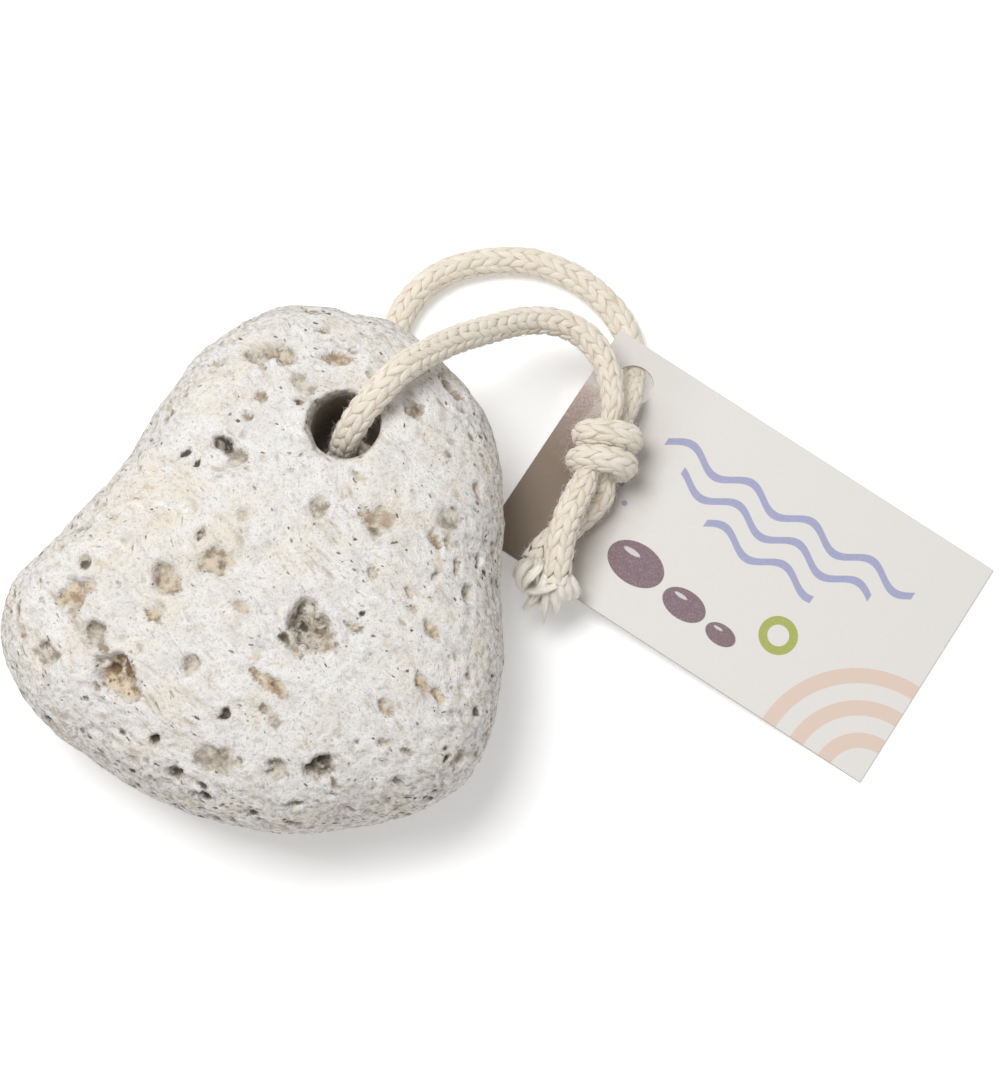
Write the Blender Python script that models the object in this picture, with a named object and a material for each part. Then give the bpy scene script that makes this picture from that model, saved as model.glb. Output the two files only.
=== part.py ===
"""Pumice stone on a cotton hanging cord, with a card tag.

The stone is one natural pebble with a drilled hole. It lies on its worn flat patch, top face up.
The cord goes down the hole, under the stone, round in a loop and through the tag, and its two
strands are tied in one overhand knot that lies on the tag, with two short tails.

World frame, in metres: +Z up, +Y along the stone's length, origin under the middle of the stone,
on the surface that it rests on.
"""

import math

import bmesh
import bpy
import numpy as np
from mathutils import Matrix, Vector, bvhtree, noise

MM = 0.001

# Stone: plan outline at its widest height, clockwise from its top end, in millimetres.
STONE_OUTLINE = [
    (8.1, 43.9), (19.4, 41.7), (25.8, 39.4), (33.6, 31.4), (38.3, 24.6), (40.7, 16.1),
    (41.2, 8.0), (40.8, -5.0), (40.3, -18.8), (38.0, -30.6), (32.9, -37.7), (24.3, -41.7),
    (9.8, -44.2), (-1.6, -43.5), (-15.1, -39.2), (-26.0, -32.3), (-34.3, -26.0), (-39.6, -17.5),
    (-41.3, -9.7), (-38.9, -2.9), (-31.6, 4.6), (-22.3, 15.3), (-14.5, 27.8), (-9.4, 35.5),
    (-3.4, 40.2), (2.3, 43.1),
]
STONE_HEIGHT = 40.0
STONE_WIDEST_AT = 20.0
STONE_SQUARENESS = 2.5
STONE_GRID = 16
STONE_LUMP_HEIGHT = 0.7
STONE_LUMP_SIZE = 16.0

# The worn flat patch under the stone, and how its underside lifts towards the hole.
WORN_DEPTH = 1.5
LIFT_TOWARDS = (0.37, 0.93)
LIFT_SLOPE = 0.36
LIFT_FROM = 8.0
LIFT_SOFTNESS = 10.0

# Drilled hole.
HOLE_CENTRE = (15.3, 19.0)
HOLE_DIAMETER = 11.0
HOLE_RIM = 1.2
HOLE_SIDES = 32

# Cord.
CORD_DIAMETER = 5.0 * MM
CORD_STEP = 1.1 * CORD_DIAMETER

# Card tag: top left corner, turned about the vertical; its left end lies up on the cord.
TAG_CORNER = (60.8, 44.7)
TAG_LENGTH = 75.0
TAG_WIDTH = 43.5
TAG_THICKNESS = 0.5
TAG_TURN = math.radians(-32.7)
TAG_LIFT = 6.8
TAG_HOLE_FROM_CORNER = (7.1, 7.0)
TAG_HOLE_DIAMETER = 7.0

# Overhand knot: two wraps side by side round a core.
KNOT_CENTRE = (57.9, 21.8, 12.2)
KNOT_AXIS_TURN = math.radians(-13.0)
KNOT_WRAP_SPACING = 4.6
KNOT_WRAP_HALF_SIZE = (3.9, 3.1)
KNOT_WRAP_RADIUS = 2.35
KNOT_WRAP_SLANT = 0.1
KNOT_CORE_HALF_SIZE = (3.9, 5.2, 3.6)
KNOT_VOXEL = 0.45
KNOT_KEPT_SHARE = 0.13

# The cord's own route, in metres, from the knot over the stone's shoulder, down the hole,
# under the stone, round the back and up through the tag to the knot again.
LOOP_ROUTE = [
    (0.0592, 0.0292, 0.0150),
    (0.0589, 0.0327, 0.0148),
    (0.0581, 0.0360, 0.0146),
    (0.0567, 0.0388, 0.0147),
    (0.0547, 0.0410, 0.0150),
    (0.0520, 0.0425, 0.0157),
    (0.0489, 0.0431, 0.0168),
    (0.0455, 0.0427, 0.0184),
    (0.0420, 0.0413, 0.0210),
    (0.0376, 0.0386, 0.0252),
    (0.0340, 0.0362, 0.0292),
    (0.0308, 0.0337, 0.0325),
    (0.0275, 0.0306, 0.0362),
    (0.0245, 0.0275, 0.0395),
    (0.0211, 0.0237, 0.0404),
    (0.0180, 0.0203, 0.0389),
    (0.0159, 0.0179, 0.0354),
    (0.0150, 0.0169, 0.0305),
    (0.0147, 0.0166, 0.0225),
    (0.0148, 0.0167, 0.0140),
    (0.0153, 0.0184, 0.0090),
    (0.0161, 0.0217, 0.0053),
    (0.0172, 0.0263, 0.0033),
    (0.0189, 0.0345, 0.0027),
    (0.0212, 0.0430, 0.0027),
    (0.0246, 0.0510, 0.0027),
    (0.0300, 0.0561, 0.0027),
    (0.0375, 0.0585, 0.0027),
    (0.0455, 0.0585, 0.0027),
    (0.0530, 0.0557, 0.0027),
    (0.0586, 0.0510, 0.0027),
    (0.0616, 0.0465, 0.0027),
    (0.0628, 0.0432, 0.0027),
    (0.0632, 0.0404, 0.0029),
    (0.0633, 0.0379, 0.0039),
    (0.0632, 0.0360, 0.0053),
    (0.0630, 0.0341, 0.0073),
    (0.0626, 0.0322, 0.0091),
    (0.0620, 0.0305, 0.0101),
    (0.0614, 0.0289, 0.0104),
]

# Where the cord is squeezed: in the tag's hole and where its strands enter the knot.
CORD_NECK = 0.8
NECKS_AT = [(0.0631, 0.0350, 0.0064), (0.0603, 0.0288, 0.0127)]
NECK_REACH = 0.0117
NECK_FADE = 0.009

FRONT_TAIL_ROUTE = [
    (0.0541, 0.0150, 0.0145),
    (0.0526, 0.0120, 0.0148),
    (0.0509, 0.0077, 0.0147),
    (0.0501, 0.0027, 0.0136),
    (0.0495, -0.0016, 0.0116),
    (0.0489, -0.0040, 0.0102),
    (0.0484, -0.0060, 0.0089),
]
FRONT_TAIL_SWELL = [0.95, 1.0, 1.0, 1.0, 1.05, 1.4, 0.5]

BACK_TAIL_ROUTE = [
    (0.0572, 0.0146, 0.0091),
    (0.0552, 0.0123, 0.0091),
    (0.0517, 0.0091, 0.0092),
    (0.0480, 0.0058, 0.0093),
    (0.0452, 0.0021, 0.0094),
    (0.0441, 0.0000, 0.0092),
]
BACK_TAIL_SWELL = [0.95, 1.0, 1.0, 1.0, 1.1, 0.7]

# Open pits on the top face, in millimetres: place on the plan, length, width, turn in degrees, depth.
TOP_PITS = [
    (-3.5, 14.6, 4.6, 3.6, 60, 2.8),
    (1.3, 31.7, 5.0, 3.6, -10, 1.4),
    (5.6, 31.4, 3.6, 3.3, 0, 2.0),
    (14.2, 30.7, 6.2, 2.5, 0, 0.9),
    (8.3, 26.0, 4.5, 3.0, 80, 1.2),
    (26.7, 22.1, 4.9, 3.6, 100, 1.6),
    (32.9, 27.2, 5.0, 3.4, -40, 1.2),
    (21.3, 2.4, 5.8, 4.6, -10, 1.2),
    (11.6, 4.2, 4.2, 2.8, 80, 1.2),
    (-28.0, -9.3, 8.0, 5.0, 10, 1.5),
    (-12.3, -7.8, 7.0, 5.0, -45, 1.8),
    (-24.1, -15.6, 5.2, 4.6, 0, 2.0),
    (-32.5, -18.4, 5.6, 4.2, -30, 1.6),
    (-20.0, -23.1, 9.5, 6.5, -45, 2.6),
    (-8.8, -21.5, 4.2, 3.0, 70, 1.3),
    (-11.4, -37.2, 3.0, 2.6, -30, 1.5),
    (-4.6, -36.2, 6.4, 5.0, -20, 1.4),
    (-7.2, -40.4, 4.0, 1.5, -20, 1.5),
    (10.4, -15.3, 8.6, 6.4, -55, 3.2),
    (3.8, -24.3, 8.5, 2.2, -45, 0.9),
    (29.8, -15.2, 4.6, 2.0, -50, 0.8),
    (28.2, -23.9, 4.6, 2.2, -60, 0.9),
    (5.3, -37.3, 4.5, 3.6, 80, 2.0),
    (11.9, -37.0, 6.2, 4.6, 40, 2.2),
    (35.3, -8.2, 3.8, 2.0, 80, 1.3),
    (34.0, -34.4, 4.2, 2.6, 70, 1.2),
]

# Open pits round the sides and underneath: azimuth and elevation from the stone's middle in degrees,
# then length, width, turn in degrees and depth.
SIDE_PITS = [
    (20, -6, 5.0, 3.5, 30, 1.8),
    (100, -10, 4.0, 3.0, 0, 1.6),
    (125, -4, 6.0, 4.0, 20, 2.0),
    (205, -20, 5.0, 4.0, 10, 1.8),
    (250, -12, 4.5, 3.0, 0, 1.6),
    (285, -22, 6.0, 4.0, 40, 2.2),
    (330, -12, 5.0, 3.5, -20, 1.8),
    (110, -42, 7.0, 5.0, 30, 2.4),
    (165, -38, 5.0, 3.4, 15, 1.8),
    (225, -40, 6.0, 4.4, 60, 2.2),
    (300, -40, 5.0, 4.0, 0, 2.0),
    (25, -44, 5.5, 4.0, 45, 2.0),
]
PIT_ROUGHNESS = 0.32
PIT_LUMPS = 1.7
LARGE_PIT = 7.5


def catmull_rom(points, closed, per_span):
    """Points on a smooth curve through the given points, with even steps inside each span."""
    p = np.array(points, float)
    count = len(p)
    if closed:
        p = np.vstack([p[-1], p, p[0], p[1]])
        spans = count
    else:
        p = np.vstack([2 * p[0] - p[1], p, 2 * p[-1] - p[-2]])
        spans = count - 1
    t = np.linspace(0, 1, per_span, endpoint=False)[:, None]
    parts = []
    for i in range(spans):
        a, b, c, d = p[i : i + 4]
        parts.append(
            0.5 * (2 * b + (c - a) * t + (2 * a - 5 * b + 4 * c - d) * t**2 + (3 * b - a - 3 * c + d) * t**3)
        )
    if not closed:
        parts.append(p[-2][None])
    return np.vstack(parts)


def resample(points, step):
    """The same curve with points at an even distance, close to step."""
    lengths = np.linalg.norm(np.diff(points, axis=0), axis=1)
    along = np.concatenate([[0], np.cumsum(lengths)])
    count = max(2, round(along[-1] / step) + 1)
    at = np.linspace(0, along[-1], count)
    return np.stack([np.interp(at, along, points[:, k]) for k in range(3)], 1)


def new_object(name, mesh):
    obj = bpy.data.objects.new(name, mesh)
    bpy.context.scene.collection.objects.link(obj)
    return obj


def object_from_bmesh(name, bm):
    bmesh.ops.recalc_face_normals(bm, faces=bm.faces)
    mesh = bpy.data.meshes.new(name)
    bm.to_mesh(mesh)
    bm.free()
    return new_object(name, mesh)


def shade_round(mesh, sharp_angle):
    mesh.shade_smooth()
    mesh.set_sharp_from_angle(angle=math.radians(sharp_angle))


def set_material(obj, name, colour, roughness):
    material = bpy.data.materials.new(name)
    material.use_nodes = True
    shader = material.node_tree.nodes["Principled BSDF"]
    shader.inputs["Base Color"].default_value = (*colour, 1.0)
    shader.inputs["Roughness"].default_value = roughness
    shader.inputs["Metallic"].default_value = 0.0
    material.diffuse_color = (*colour, 1.0)
    obj.data.materials.append(material)


def cut_away(obj, cutter):
    cutter.hide_render = True
    cutter.display_type = "WIRE"
    cut = obj.modifiers.new(cutter.name, "BOOLEAN")
    cut.operation = "DIFFERENCE"
    cut.solver = "EXACT"
    cut.use_self = True
    cut.object = cutter


def outline_radius():
    """The stone's plan outline as a function from a direction to its distance from the middle."""
    curve = catmull_rom(STONE_OUTLINE, True, 8)
    angles = np.arctan2(curve[:, 1], curve[:, 0])
    radii = np.hypot(curve[:, 0], curve[:, 1])
    order = np.argsort(angles)
    angles = angles[order]
    radii = radii[order]
    return lambda angle: np.interp(angle, angles, radii, period=2 * math.pi)


def underside_lift(x, y):
    """How far the underside stands above the worn patch's level, towards the drilled hole."""
    u = LIFT_TOWARDS[0] * x + LIFT_TOWARDS[1] * y - LIFT_FROM
    return LIFT_SLOPE * (math.hypot(u, LIFT_SOFTNESS) + u) / 2


def stone_surface(direction, radius_at):
    """The point of the smooth pebble in a direction from its middle, in millimetres."""
    angle = math.atan2(direction.y, direction.x)
    power = 2 / STONE_SQUARENESS
    reach = math.hypot(direction.x, direction.y) ** power * float(radius_at(angle))
    x = reach * math.cos(angle)
    y = reach * math.sin(angle)
    rise = abs(direction.z) ** power
    if direction.z >= 0:
        z = STONE_WIDEST_AT + rise * (STONE_HEIGHT - STONE_WIDEST_AT)
    else:
        z = STONE_WIDEST_AT - rise * (STONE_WIDEST_AT + WORN_DEPTH - underside_lift(x, y))
    return Vector((x, y, z))


def round_box_directions(cells):
    """A bmesh of a cube's faces in even cells, each vertex moved to a direction of length 1."""
    bm = bmesh.new()
    bmesh.ops.create_cube(bm, size=2.0)
    bmesh.ops.subdivide_edges(bm, edges=bm.edges[:], cuts=cells - 1, use_grid_fill=True)
    for vertex in bm.verts:
        even = [math.tan(value * math.pi / 4) for value in vertex.co]
        vertex.co = Vector(even).normalized()
    return bm


def flatten_underside(bm):
    """Cuts the pebble at the level that it rests on and closes it with one flat face."""
    everything = bm.verts[:] + bm.edges[:] + bm.faces[:]
    cut = bmesh.ops.bisect_plane(bm, geom=everything, plane_co=(0, 0, 0), plane_no=(0, 0, -1), clear_outer=True)
    rim = [item for item in cut["geom_cut"] if isinstance(item, bmesh.types.BMEdge)]
    bmesh.ops.contextual_create(bm, geom=rim)


def pebble():
    """The worn pebble before it is drilled and pitted."""
    radius_at = outline_radius()
    bm = round_box_directions(STONE_GRID)
    for vertex in bm.verts:
        direction = vertex.co.copy()
        point = stone_surface(direction, radius_at)
        lump = noise.noise(point / STONE_LUMP_SIZE) * STONE_LUMP_HEIGHT
        outward = Vector((point.x, point.y, point.z - STONE_WIDEST_AT)).normalized()
        vertex.co = (point + outward * lump) * MM
    flatten_underside(bm)
    return object_from_bmesh("stone", bm)


def turned_cutter(name, centre, profile, sides):
    """A round cutter from rings of (radius, height), in millimetres, bottom ring first."""
    bm = bmesh.new()
    rings = []
    for radius, height in profile:
        angles = [2 * math.pi * k / sides for k in range(sides)]
        places = [(centre[0] + radius * math.cos(a), centre[1] + radius * math.sin(a), height) for a in angles]
        rings.append([bm.verts.new(Vector(place) * MM) for place in places])
    for low, high in zip(rings, rings[1:]):
        for k in range(sides):
            after = (k + 1) % sides
            bm.faces.new((low[k], low[after], high[after], high[k]))
    bm.faces.new(list(reversed(rings[0])))
    bm.faces.new(rings[-1])
    return object_from_bmesh(name, bm)


def hole_cutter(surface):
    """The drill's way through the stone, with a softly worn rim at each mouth."""
    x, y = HOLE_CENTRE
    top = surface.ray_cast(Vector((x, y, 100)) * MM, Vector((0, 0, -1)))[0].z / MM
    bottom = surface.ray_cast(Vector((x, y, -100)) * MM, Vector((0, 0, 1)))[0].z / MM
    radius = HOLE_DIAMETER / 2
    profile = [
        (radius + 3 * HOLE_RIM, bottom - 3 * HOLE_RIM),
        (radius + 0.8 * HOLE_RIM, bottom),
        (radius, bottom + 1.5 * HOLE_RIM),
        (radius, top - 1.5 * HOLE_RIM),
        (radius + 0.5 * HOLE_RIM, top),
        (radius + 2 * HOLE_RIM, top + 2.5 * HOLE_RIM),
    ]
    return turned_cutter("hole_cutter", HOLE_CENTRE, profile, HOLE_SIDES)


def add_pit(bm, place, normal, pit, seed):
    """Adds one lumpy bowl, half sunk in the surface at a place."""
    length, width, turn, depth = pit
    level = 3 if length > LARGE_PIT else 2
    ball = bmesh.ops.create_icosphere(bm, subdivisions=level, radius=1.0)["verts"]
    size = Matrix.Diagonal((length / 2 * MM, width / 2 * MM, depth * MM, 1.0))
    facing = normal.to_track_quat("Z", "Y").to_matrix().to_4x4()
    spin = Matrix.Rotation(math.radians(turn), 4, "Z")
    frame = Matrix.Translation(place) @ facing @ spin @ size
    for vertex in ball:
        lump = noise.noise(vertex.co * PIT_LUMPS + Vector((seed, 0.37 * seed, 0)))
        vertex.co = frame @ (vertex.co * (1 + PIT_ROUGHNESS * lump))


def pit_cutter(surface):
    bm = bmesh.new()
    for seed, (x, y, *pit) in enumerate(TOP_PITS):
        place, normal, _, _ = surface.ray_cast(Vector((x, y, 100)) * MM, Vector((0, 0, -1)))
        add_pit(bm, place, normal, pit, seed)
    middle = Vector((0, 0, STONE_WIDEST_AT)) * MM
    for seed, (azimuth, elevation, *pit) in enumerate(SIDE_PITS, len(TOP_PITS)):
        across = math.cos(math.radians(elevation))
        outward = Vector((
            across * math.cos(math.radians(azimuth)),
            across * math.sin(math.radians(azimuth)),
            math.sin(math.radians(elevation)),
        ))
        place, normal, _, _ = surface.ray_cast(middle, outward)
        add_pit(bm, place, normal, pit, seed)
    return object_from_bmesh("pit_cutter", bm)


def make_stone():
    stone = pebble()
    bm = bmesh.new()
    bm.from_mesh(stone.data)
    surface = bvhtree.BVHTree.FromBMesh(bm)
    bm.free()
    cut_away(stone, pit_cutter(surface))
    cut_away(stone, hole_cutter(surface))
    shade_round(stone.data, 60)
    set_material(stone, "pumice", (0.76, 0.75, 0.72), 0.95)


def tube(name, points, swell):
    """A length of cord along the points; swell scales its thickness at each point."""
    curve = bpy.data.curves.new(name, "CURVE")
    curve.dimensions = "3D"
    curve.bevel_depth = CORD_DIAMETER / 2
    curve.bevel_resolution = 3
    curve.use_fill_caps = True
    spline = curve.splines.new("POLY")
    spline.points.add(len(points) - 1)
    for point, place, thickness in zip(spline.points, points, swell):
        point.co = (*place, 1.0)
        point.radius = thickness
    cord = new_object(name, curve)
    set_material(cord, name, (0.80, 0.73, 0.60), 0.9)
    return cord


def make_cord_loop():
    points = resample(catmull_rom(LOOP_ROUTE, False, 12), CORD_STEP)
    away = np.min([np.linalg.norm(points - np.array(place), axis=1) for place in NECKS_AT], axis=0)
    neck = np.clip((NECK_REACH - away) / NECK_FADE, 0, 1)
    tube("cord_loop", points, 1 - (1 - CORD_NECK) * neck)


def make_cord_tail(name, route, swell):
    tube(name, catmull_rom(route, False, 1), swell)


def ring_of_cord(bm, along):
    """One wrap of the knot: a closed ring of cord round the knot's axis, at a distance along it."""
    around, across = 28, 12
    wide, high = KNOT_WRAP_HALF_SIZE
    rows = []
    for i in range(around):
        a = 2 * math.pi * i / around
        out = Vector((math.cos(a) / wide, 0, math.sin(a) / high)).normalized()
        slant = KNOT_WRAP_SLANT * wide * math.cos(a)
        middle = Vector((wide * math.cos(a), along + slant, high * math.sin(a)))
        row = []
        for k in range(across):
            b = 2 * math.pi * k / across
            side = out * math.cos(b) + Vector((0, math.sin(b), 0))
            row.append(bm.verts.new((middle + side * KNOT_WRAP_RADIUS) * MM))
        rows.append(row)
    for i in range(around):
        for k in range(across):
            near, far = rows[i], rows[(i + 1) % around]
            after = (k + 1) % across
            bm.faces.new((near[k], near[after], far[after], far[k]))


def make_knot():
    bm = bmesh.new()
    for side in (-0.5, 0.5):
        ring_of_cord(bm, side * KNOT_WRAP_SPACING)
    core = bmesh.ops.create_uvsphere(bm, u_segments=24, v_segments=16, radius=1.0)["verts"]
    for vertex in core:
        vertex.co = Vector([value * half for value, half in zip(vertex.co, KNOT_CORE_HALF_SIZE)]) * MM
    knot = object_from_bmesh("cord_knot", bm)
    knot.location = Vector(KNOT_CENTRE) * MM
    knot.rotation_euler = (0, 0, KNOT_AXIS_TURN)
    skin = knot.modifiers.new("one_skin", "REMESH")
    skin.mode = "VOXEL"
    skin.voxel_size = KNOT_VOXEL * MM
    skin.use_smooth_shade = True
    fewer = knot.modifiers.new("fewer_faces", "DECIMATE")
    fewer.ratio = KNOT_KEPT_SHARE
    set_material(knot, "cord_knot", (0.80, 0.73, 0.60), 0.9)


def tag_point(u, v):
    """A point in the middle of the card, from distances along and across it, in millimetres."""
    along = Vector((math.cos(TAG_TURN), math.sin(TAG_TURN)))
    across = Vector((along.y, -along.x))
    plan = Vector(TAG_CORNER) + along * u + across * v
    lift = TAG_LIFT * (1 - u / TAG_LENGTH)
    return Vector((plan.x, plan.y, TAG_THICKNESS / 2 + lift))


def make_tag():
    bm = bmesh.new()
    corners = [(0, 0), (0, TAG_WIDTH), (TAG_LENGTH, TAG_WIDTH), (TAG_LENGTH, 0)]
    bm.faces.new([bm.verts.new(tag_point(u, v) * MM) for u, v in corners])
    tag = object_from_bmesh("tag", bm)
    card = tag.modifiers.new("card", "SOLIDIFY")
    card.thickness = TAG_THICKNESS * MM
    card.offset = 0.0
    hole = tag_point(*TAG_HOLE_FROM_CORNER)
    radius = TAG_HOLE_DIAMETER / 2
    reach = 3 * TAG_THICKNESS
    profile = [(radius, hole.z - reach), (radius, hole.z + reach)]
    cut_away(tag, turned_cutter("tag_hole_cutter", (hole.x, hole.y), profile, HOLE_SIDES))
    set_material(tag, "card", (0.86, 0.84, 0.80), 0.6)


def clear_scene():
    for obj in list(bpy.data.objects):
        bpy.data.objects.remove(obj, do_unlink=True)


clear_scene()
make_stone()
make_cord_loop()
make_knot()
make_cord_tail("cord_tail_front", FRONT_TAIL_ROUTE, FRONT_TAIL_SWELL)
make_cord_tail("cord_tail_back", BACK_TAIL_ROUTE, BACK_TAIL_SWELL)
make_tag()
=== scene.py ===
"""Looks of the pumice stone on its knotted cotton cord, with its card tag."""

import math

import bmesh
import bpy
import numpy as np
from mathutils import Matrix, Vector, kdtree, noise


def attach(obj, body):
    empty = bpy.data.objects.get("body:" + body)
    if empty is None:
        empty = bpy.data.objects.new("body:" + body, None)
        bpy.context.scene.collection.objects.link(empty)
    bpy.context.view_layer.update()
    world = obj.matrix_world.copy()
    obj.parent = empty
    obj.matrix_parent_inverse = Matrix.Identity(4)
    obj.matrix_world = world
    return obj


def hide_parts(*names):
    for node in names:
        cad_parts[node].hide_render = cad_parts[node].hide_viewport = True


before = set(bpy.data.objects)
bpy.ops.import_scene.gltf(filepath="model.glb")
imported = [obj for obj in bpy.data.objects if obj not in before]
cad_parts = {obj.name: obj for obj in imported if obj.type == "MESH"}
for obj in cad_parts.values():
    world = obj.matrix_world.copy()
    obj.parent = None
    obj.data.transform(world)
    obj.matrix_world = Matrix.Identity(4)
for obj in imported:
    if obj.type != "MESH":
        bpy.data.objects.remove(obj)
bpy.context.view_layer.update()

# Camera. The photo looks steeply down on the stone from in front, from arm's length. At the stone's
# foot one of its pixels is 0.17 mm, and it is 1082 pixels high.
CAMERA_TARGET = Vector((0.0403, 0.00935, 0.0))
CAMERA_DISTANCE = 0.65
CAMERA_ELEVATION = math.radians(75)
PIXEL = 0.00017
PHOTO_HEIGHT = 1082
SENSOR = 36.0


def set_in_scene(name, data):
    """An object of a camera, a light or a mesh, put in the scene."""
    made = bpy.data.objects.new(name, data)
    bpy.context.scene.collection.objects.link(made)
    return made


lens = bpy.data.cameras.new("camera")
lens.sensor_width = SENSOR
lens.lens = SENSOR * CAMERA_DISTANCE / (PIXEL * PHOTO_HEIGHT)
lens.clip_start = 0.01
lens.clip_end = 20.0
camera = set_in_scene("camera", lens)
back = Vector((0.0, -math.cos(CAMERA_ELEVATION), math.sin(CAMERA_ELEVATION)))
camera.location = CAMERA_TARGET + back * CAMERA_DISTANCE
camera.rotation_euler = (math.pi / 2 - CAMERA_ELEVATION, 0.0, 0.0)
bpy.context.scene.camera = camera

# Cord's route. One length of 5 mm knitted cotton cord goes from the front tail's frayed end through
# the knot, over the stone, down its hole, round the back, up through the tag and the knot again, to
# the back tail's frayed end. It lies where the CAD's cord lies. Rows are x, y, z and thickness.
MM = 0.001
CORD_DIAMETER = 0.005
LOOP_ROUTE = [
    (0.0592, 0.0292, 0.0150), (0.0589, 0.0327, 0.0148), (0.0581, 0.0360, 0.0146),
    (0.0567, 0.0388, 0.0147), (0.0547, 0.0410, 0.0150), (0.0520, 0.0425, 0.0157),
    (0.0489, 0.0431, 0.0168), (0.0455, 0.0427, 0.0184), (0.0420, 0.0413, 0.0210),
    (0.0376, 0.0386, 0.0252), (0.0340, 0.0362, 0.0292), (0.0308, 0.0337, 0.0325),
    (0.0275, 0.0306, 0.0362), (0.0245, 0.0275, 0.0395), (0.0211, 0.0237, 0.0404),
    (0.0180, 0.0203, 0.0389), (0.0159, 0.0179, 0.0354), (0.0150, 0.0169, 0.0305),
    (0.0147, 0.0166, 0.0225), (0.0148, 0.0167, 0.0140), (0.0153, 0.0184, 0.0090),
    (0.0161, 0.0217, 0.0053), (0.0172, 0.0263, 0.0033), (0.0189, 0.0345, 0.0027),
    (0.0212, 0.0430, 0.0027), (0.0246, 0.0510, 0.0027), (0.0300, 0.0561, 0.0027),
    (0.0375, 0.0585, 0.0027), (0.0455, 0.0585, 0.0027), (0.0530, 0.0557, 0.0027),
    (0.0586, 0.0510, 0.0027), (0.0616, 0.0465, 0.0027), (0.0628, 0.0432, 0.0027),
    (0.0632, 0.0404, 0.0029), (0.0633, 0.0379, 0.0039), (0.0632, 0.0360, 0.0053),
    (0.0630, 0.0341, 0.0073), (0.0626, 0.0322, 0.0091), (0.0620, 0.0305, 0.0101),
    (0.0614, 0.0289, 0.0104),
]
NECKS_AT = [(0.0631, 0.0350, 0.0064), (0.0603, 0.0288, 0.0127)]
NECK = 0.8
NECK_REACH = 0.0117
NECK_FADE = 0.009
FRONT_TAIL = [
    (0.0494, -0.0021, 0.0113, 1.02), (0.0498, 0.0005, 0.0125, 1.0), (0.0501, 0.0030, 0.0136, 1.0),
    (0.0509, 0.0077, 0.0147, 1.0), (0.0526, 0.0120, 0.0148, 1.0), (0.0541, 0.0150, 0.0145, 0.95),
]
BACK_TAIL = [
    (0.0572, 0.0146, 0.0091, 0.95), (0.0552, 0.0123, 0.0091, 1.0), (0.0517, 0.0091, 0.0092, 1.0),
    (0.0480, 0.0058, 0.0093, 1.0), (0.0458, 0.0029, 0.0094, 1.0),
]

# Inside the knot, in millimetres from its middle: across it, along it, up, and the thickness.
KNOT_MIDDLE = Vector((0.0579, 0.0218, 0.0122))
KNOT_TURN = math.radians(-13)
WRAP_HALF_SIZE = (3.9, 3.1)
WRAP_SPACING = 4.6
WRAP_SLANT = 0.39
WRAP_THICKNESS = 0.95
WRAP_ROWS = 12
FRONT_WRAP = (-50, 230)
BACK_WRAP = (-130, -410)
FRONT_WAY_IN = [(-1.9, -5.4, 1.3, 0.8), (-1.1, -3.6, 0.1, 0.6), (0.4, -2.4, -1.0, 0.6)]
FRONT_WAY_OUT = [
    (-1.2, -1.2, -1.5, 0.6), (-0.4, 0.8, -0.2, 0.6), (-0.3, 3.2, 1.0, 0.6), (-0.3, 5.4, 2.1, 0.7),
]
BACK_WAY_IN = [(1.5, 5.6, -1.5, 0.7), (0.6, 3.8, -1.1, 0.6), (-0.6, 2.8, -1.4, 0.6)]
BACK_WAY_OUT = [
    (1.4, 1.0, -1.7, 0.6), (0.9, -1.0, -1.4, 0.6), (0.9, -3.2, -2.0, 0.7), (0.95, -5.4, -2.7, 0.9),
]
POINTS_PER_SPAN = 10
CORD_STEP = 0.25 * MM


def in_knot(across, along, up):
    """A place in the knot, in metres in the world."""
    turned = Matrix.Rotation(KNOT_TURN, 3, "Z") @ Vector((across, along, up))
    return KNOT_MIDDLE + turned * MM


def wrap(along, first, last):
    """Rows of the route once round the knot, from one angle to the other in degrees."""
    rows = []
    for angle in np.radians(np.linspace(first, last, WRAP_ROWS)):
        across = WRAP_HALF_SIZE[0] * math.cos(angle)
        up = WRAP_HALF_SIZE[1] * math.sin(angle)
        place = in_knot(across, along + WRAP_SLANT * math.cos(angle), up)
        rows.append((*place, WRAP_THICKNESS))
    return rows


def inside_knot(rows):
    return [(*in_knot(across, along, up), thickness) for across, along, up, thickness in rows]


def held(share):
    """A number kept between 0 and 1."""
    return min(max(share, 0), 1)


def loop_rows():
    """The loop's rows, thinner in the tag's hole and where it enters the knot."""
    rows = []
    for place in LOOP_ROUTE:
        away = min(math.dist(place, neck) for neck in NECKS_AT)
        rows.append((*place, 1 - (1 - NECK) * held((NECK_REACH - away) / NECK_FADE)))
    return rows


def smooth_curve(rows, closed, per_span):
    """Rows on a Catmull-Rom curve through the given rows."""
    p = np.array(rows, float)
    count = len(p)
    if closed:
        p = np.vstack([p[-1], p, p[0], p[1]])
        spans = count
    else:
        p = np.vstack([2 * p[0] - p[1], p, 2 * p[-1] - p[-2]])
        spans = count - 1
    t = np.linspace(0, 1, per_span, endpoint=False)[:, None]
    parts = []
    for i in range(spans):
        a, b, c, d = p[i : i + 4]
        cubic = 3 * b - a - 3 * c + d
        square = 2 * a - 5 * b + 4 * c - d
        parts.append(0.5 * (2 * b + (c - a) * t + square * t**2 + cubic * t**3))
    if not closed:
        parts.append(p[-2][None])
    return np.vstack(parts)


def evenly(rows, step):
    """The same rows at even distances, and how far along each is."""
    gaps = np.linalg.norm(np.diff(rows[:, :3], axis=0), axis=1)
    along = np.concatenate([[0], np.cumsum(gaps)])
    at = np.linspace(0, along[-1], round(along[-1] / step) + 1)
    return np.stack([np.interp(at, along, column) for column in rows.T], 1), at


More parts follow.
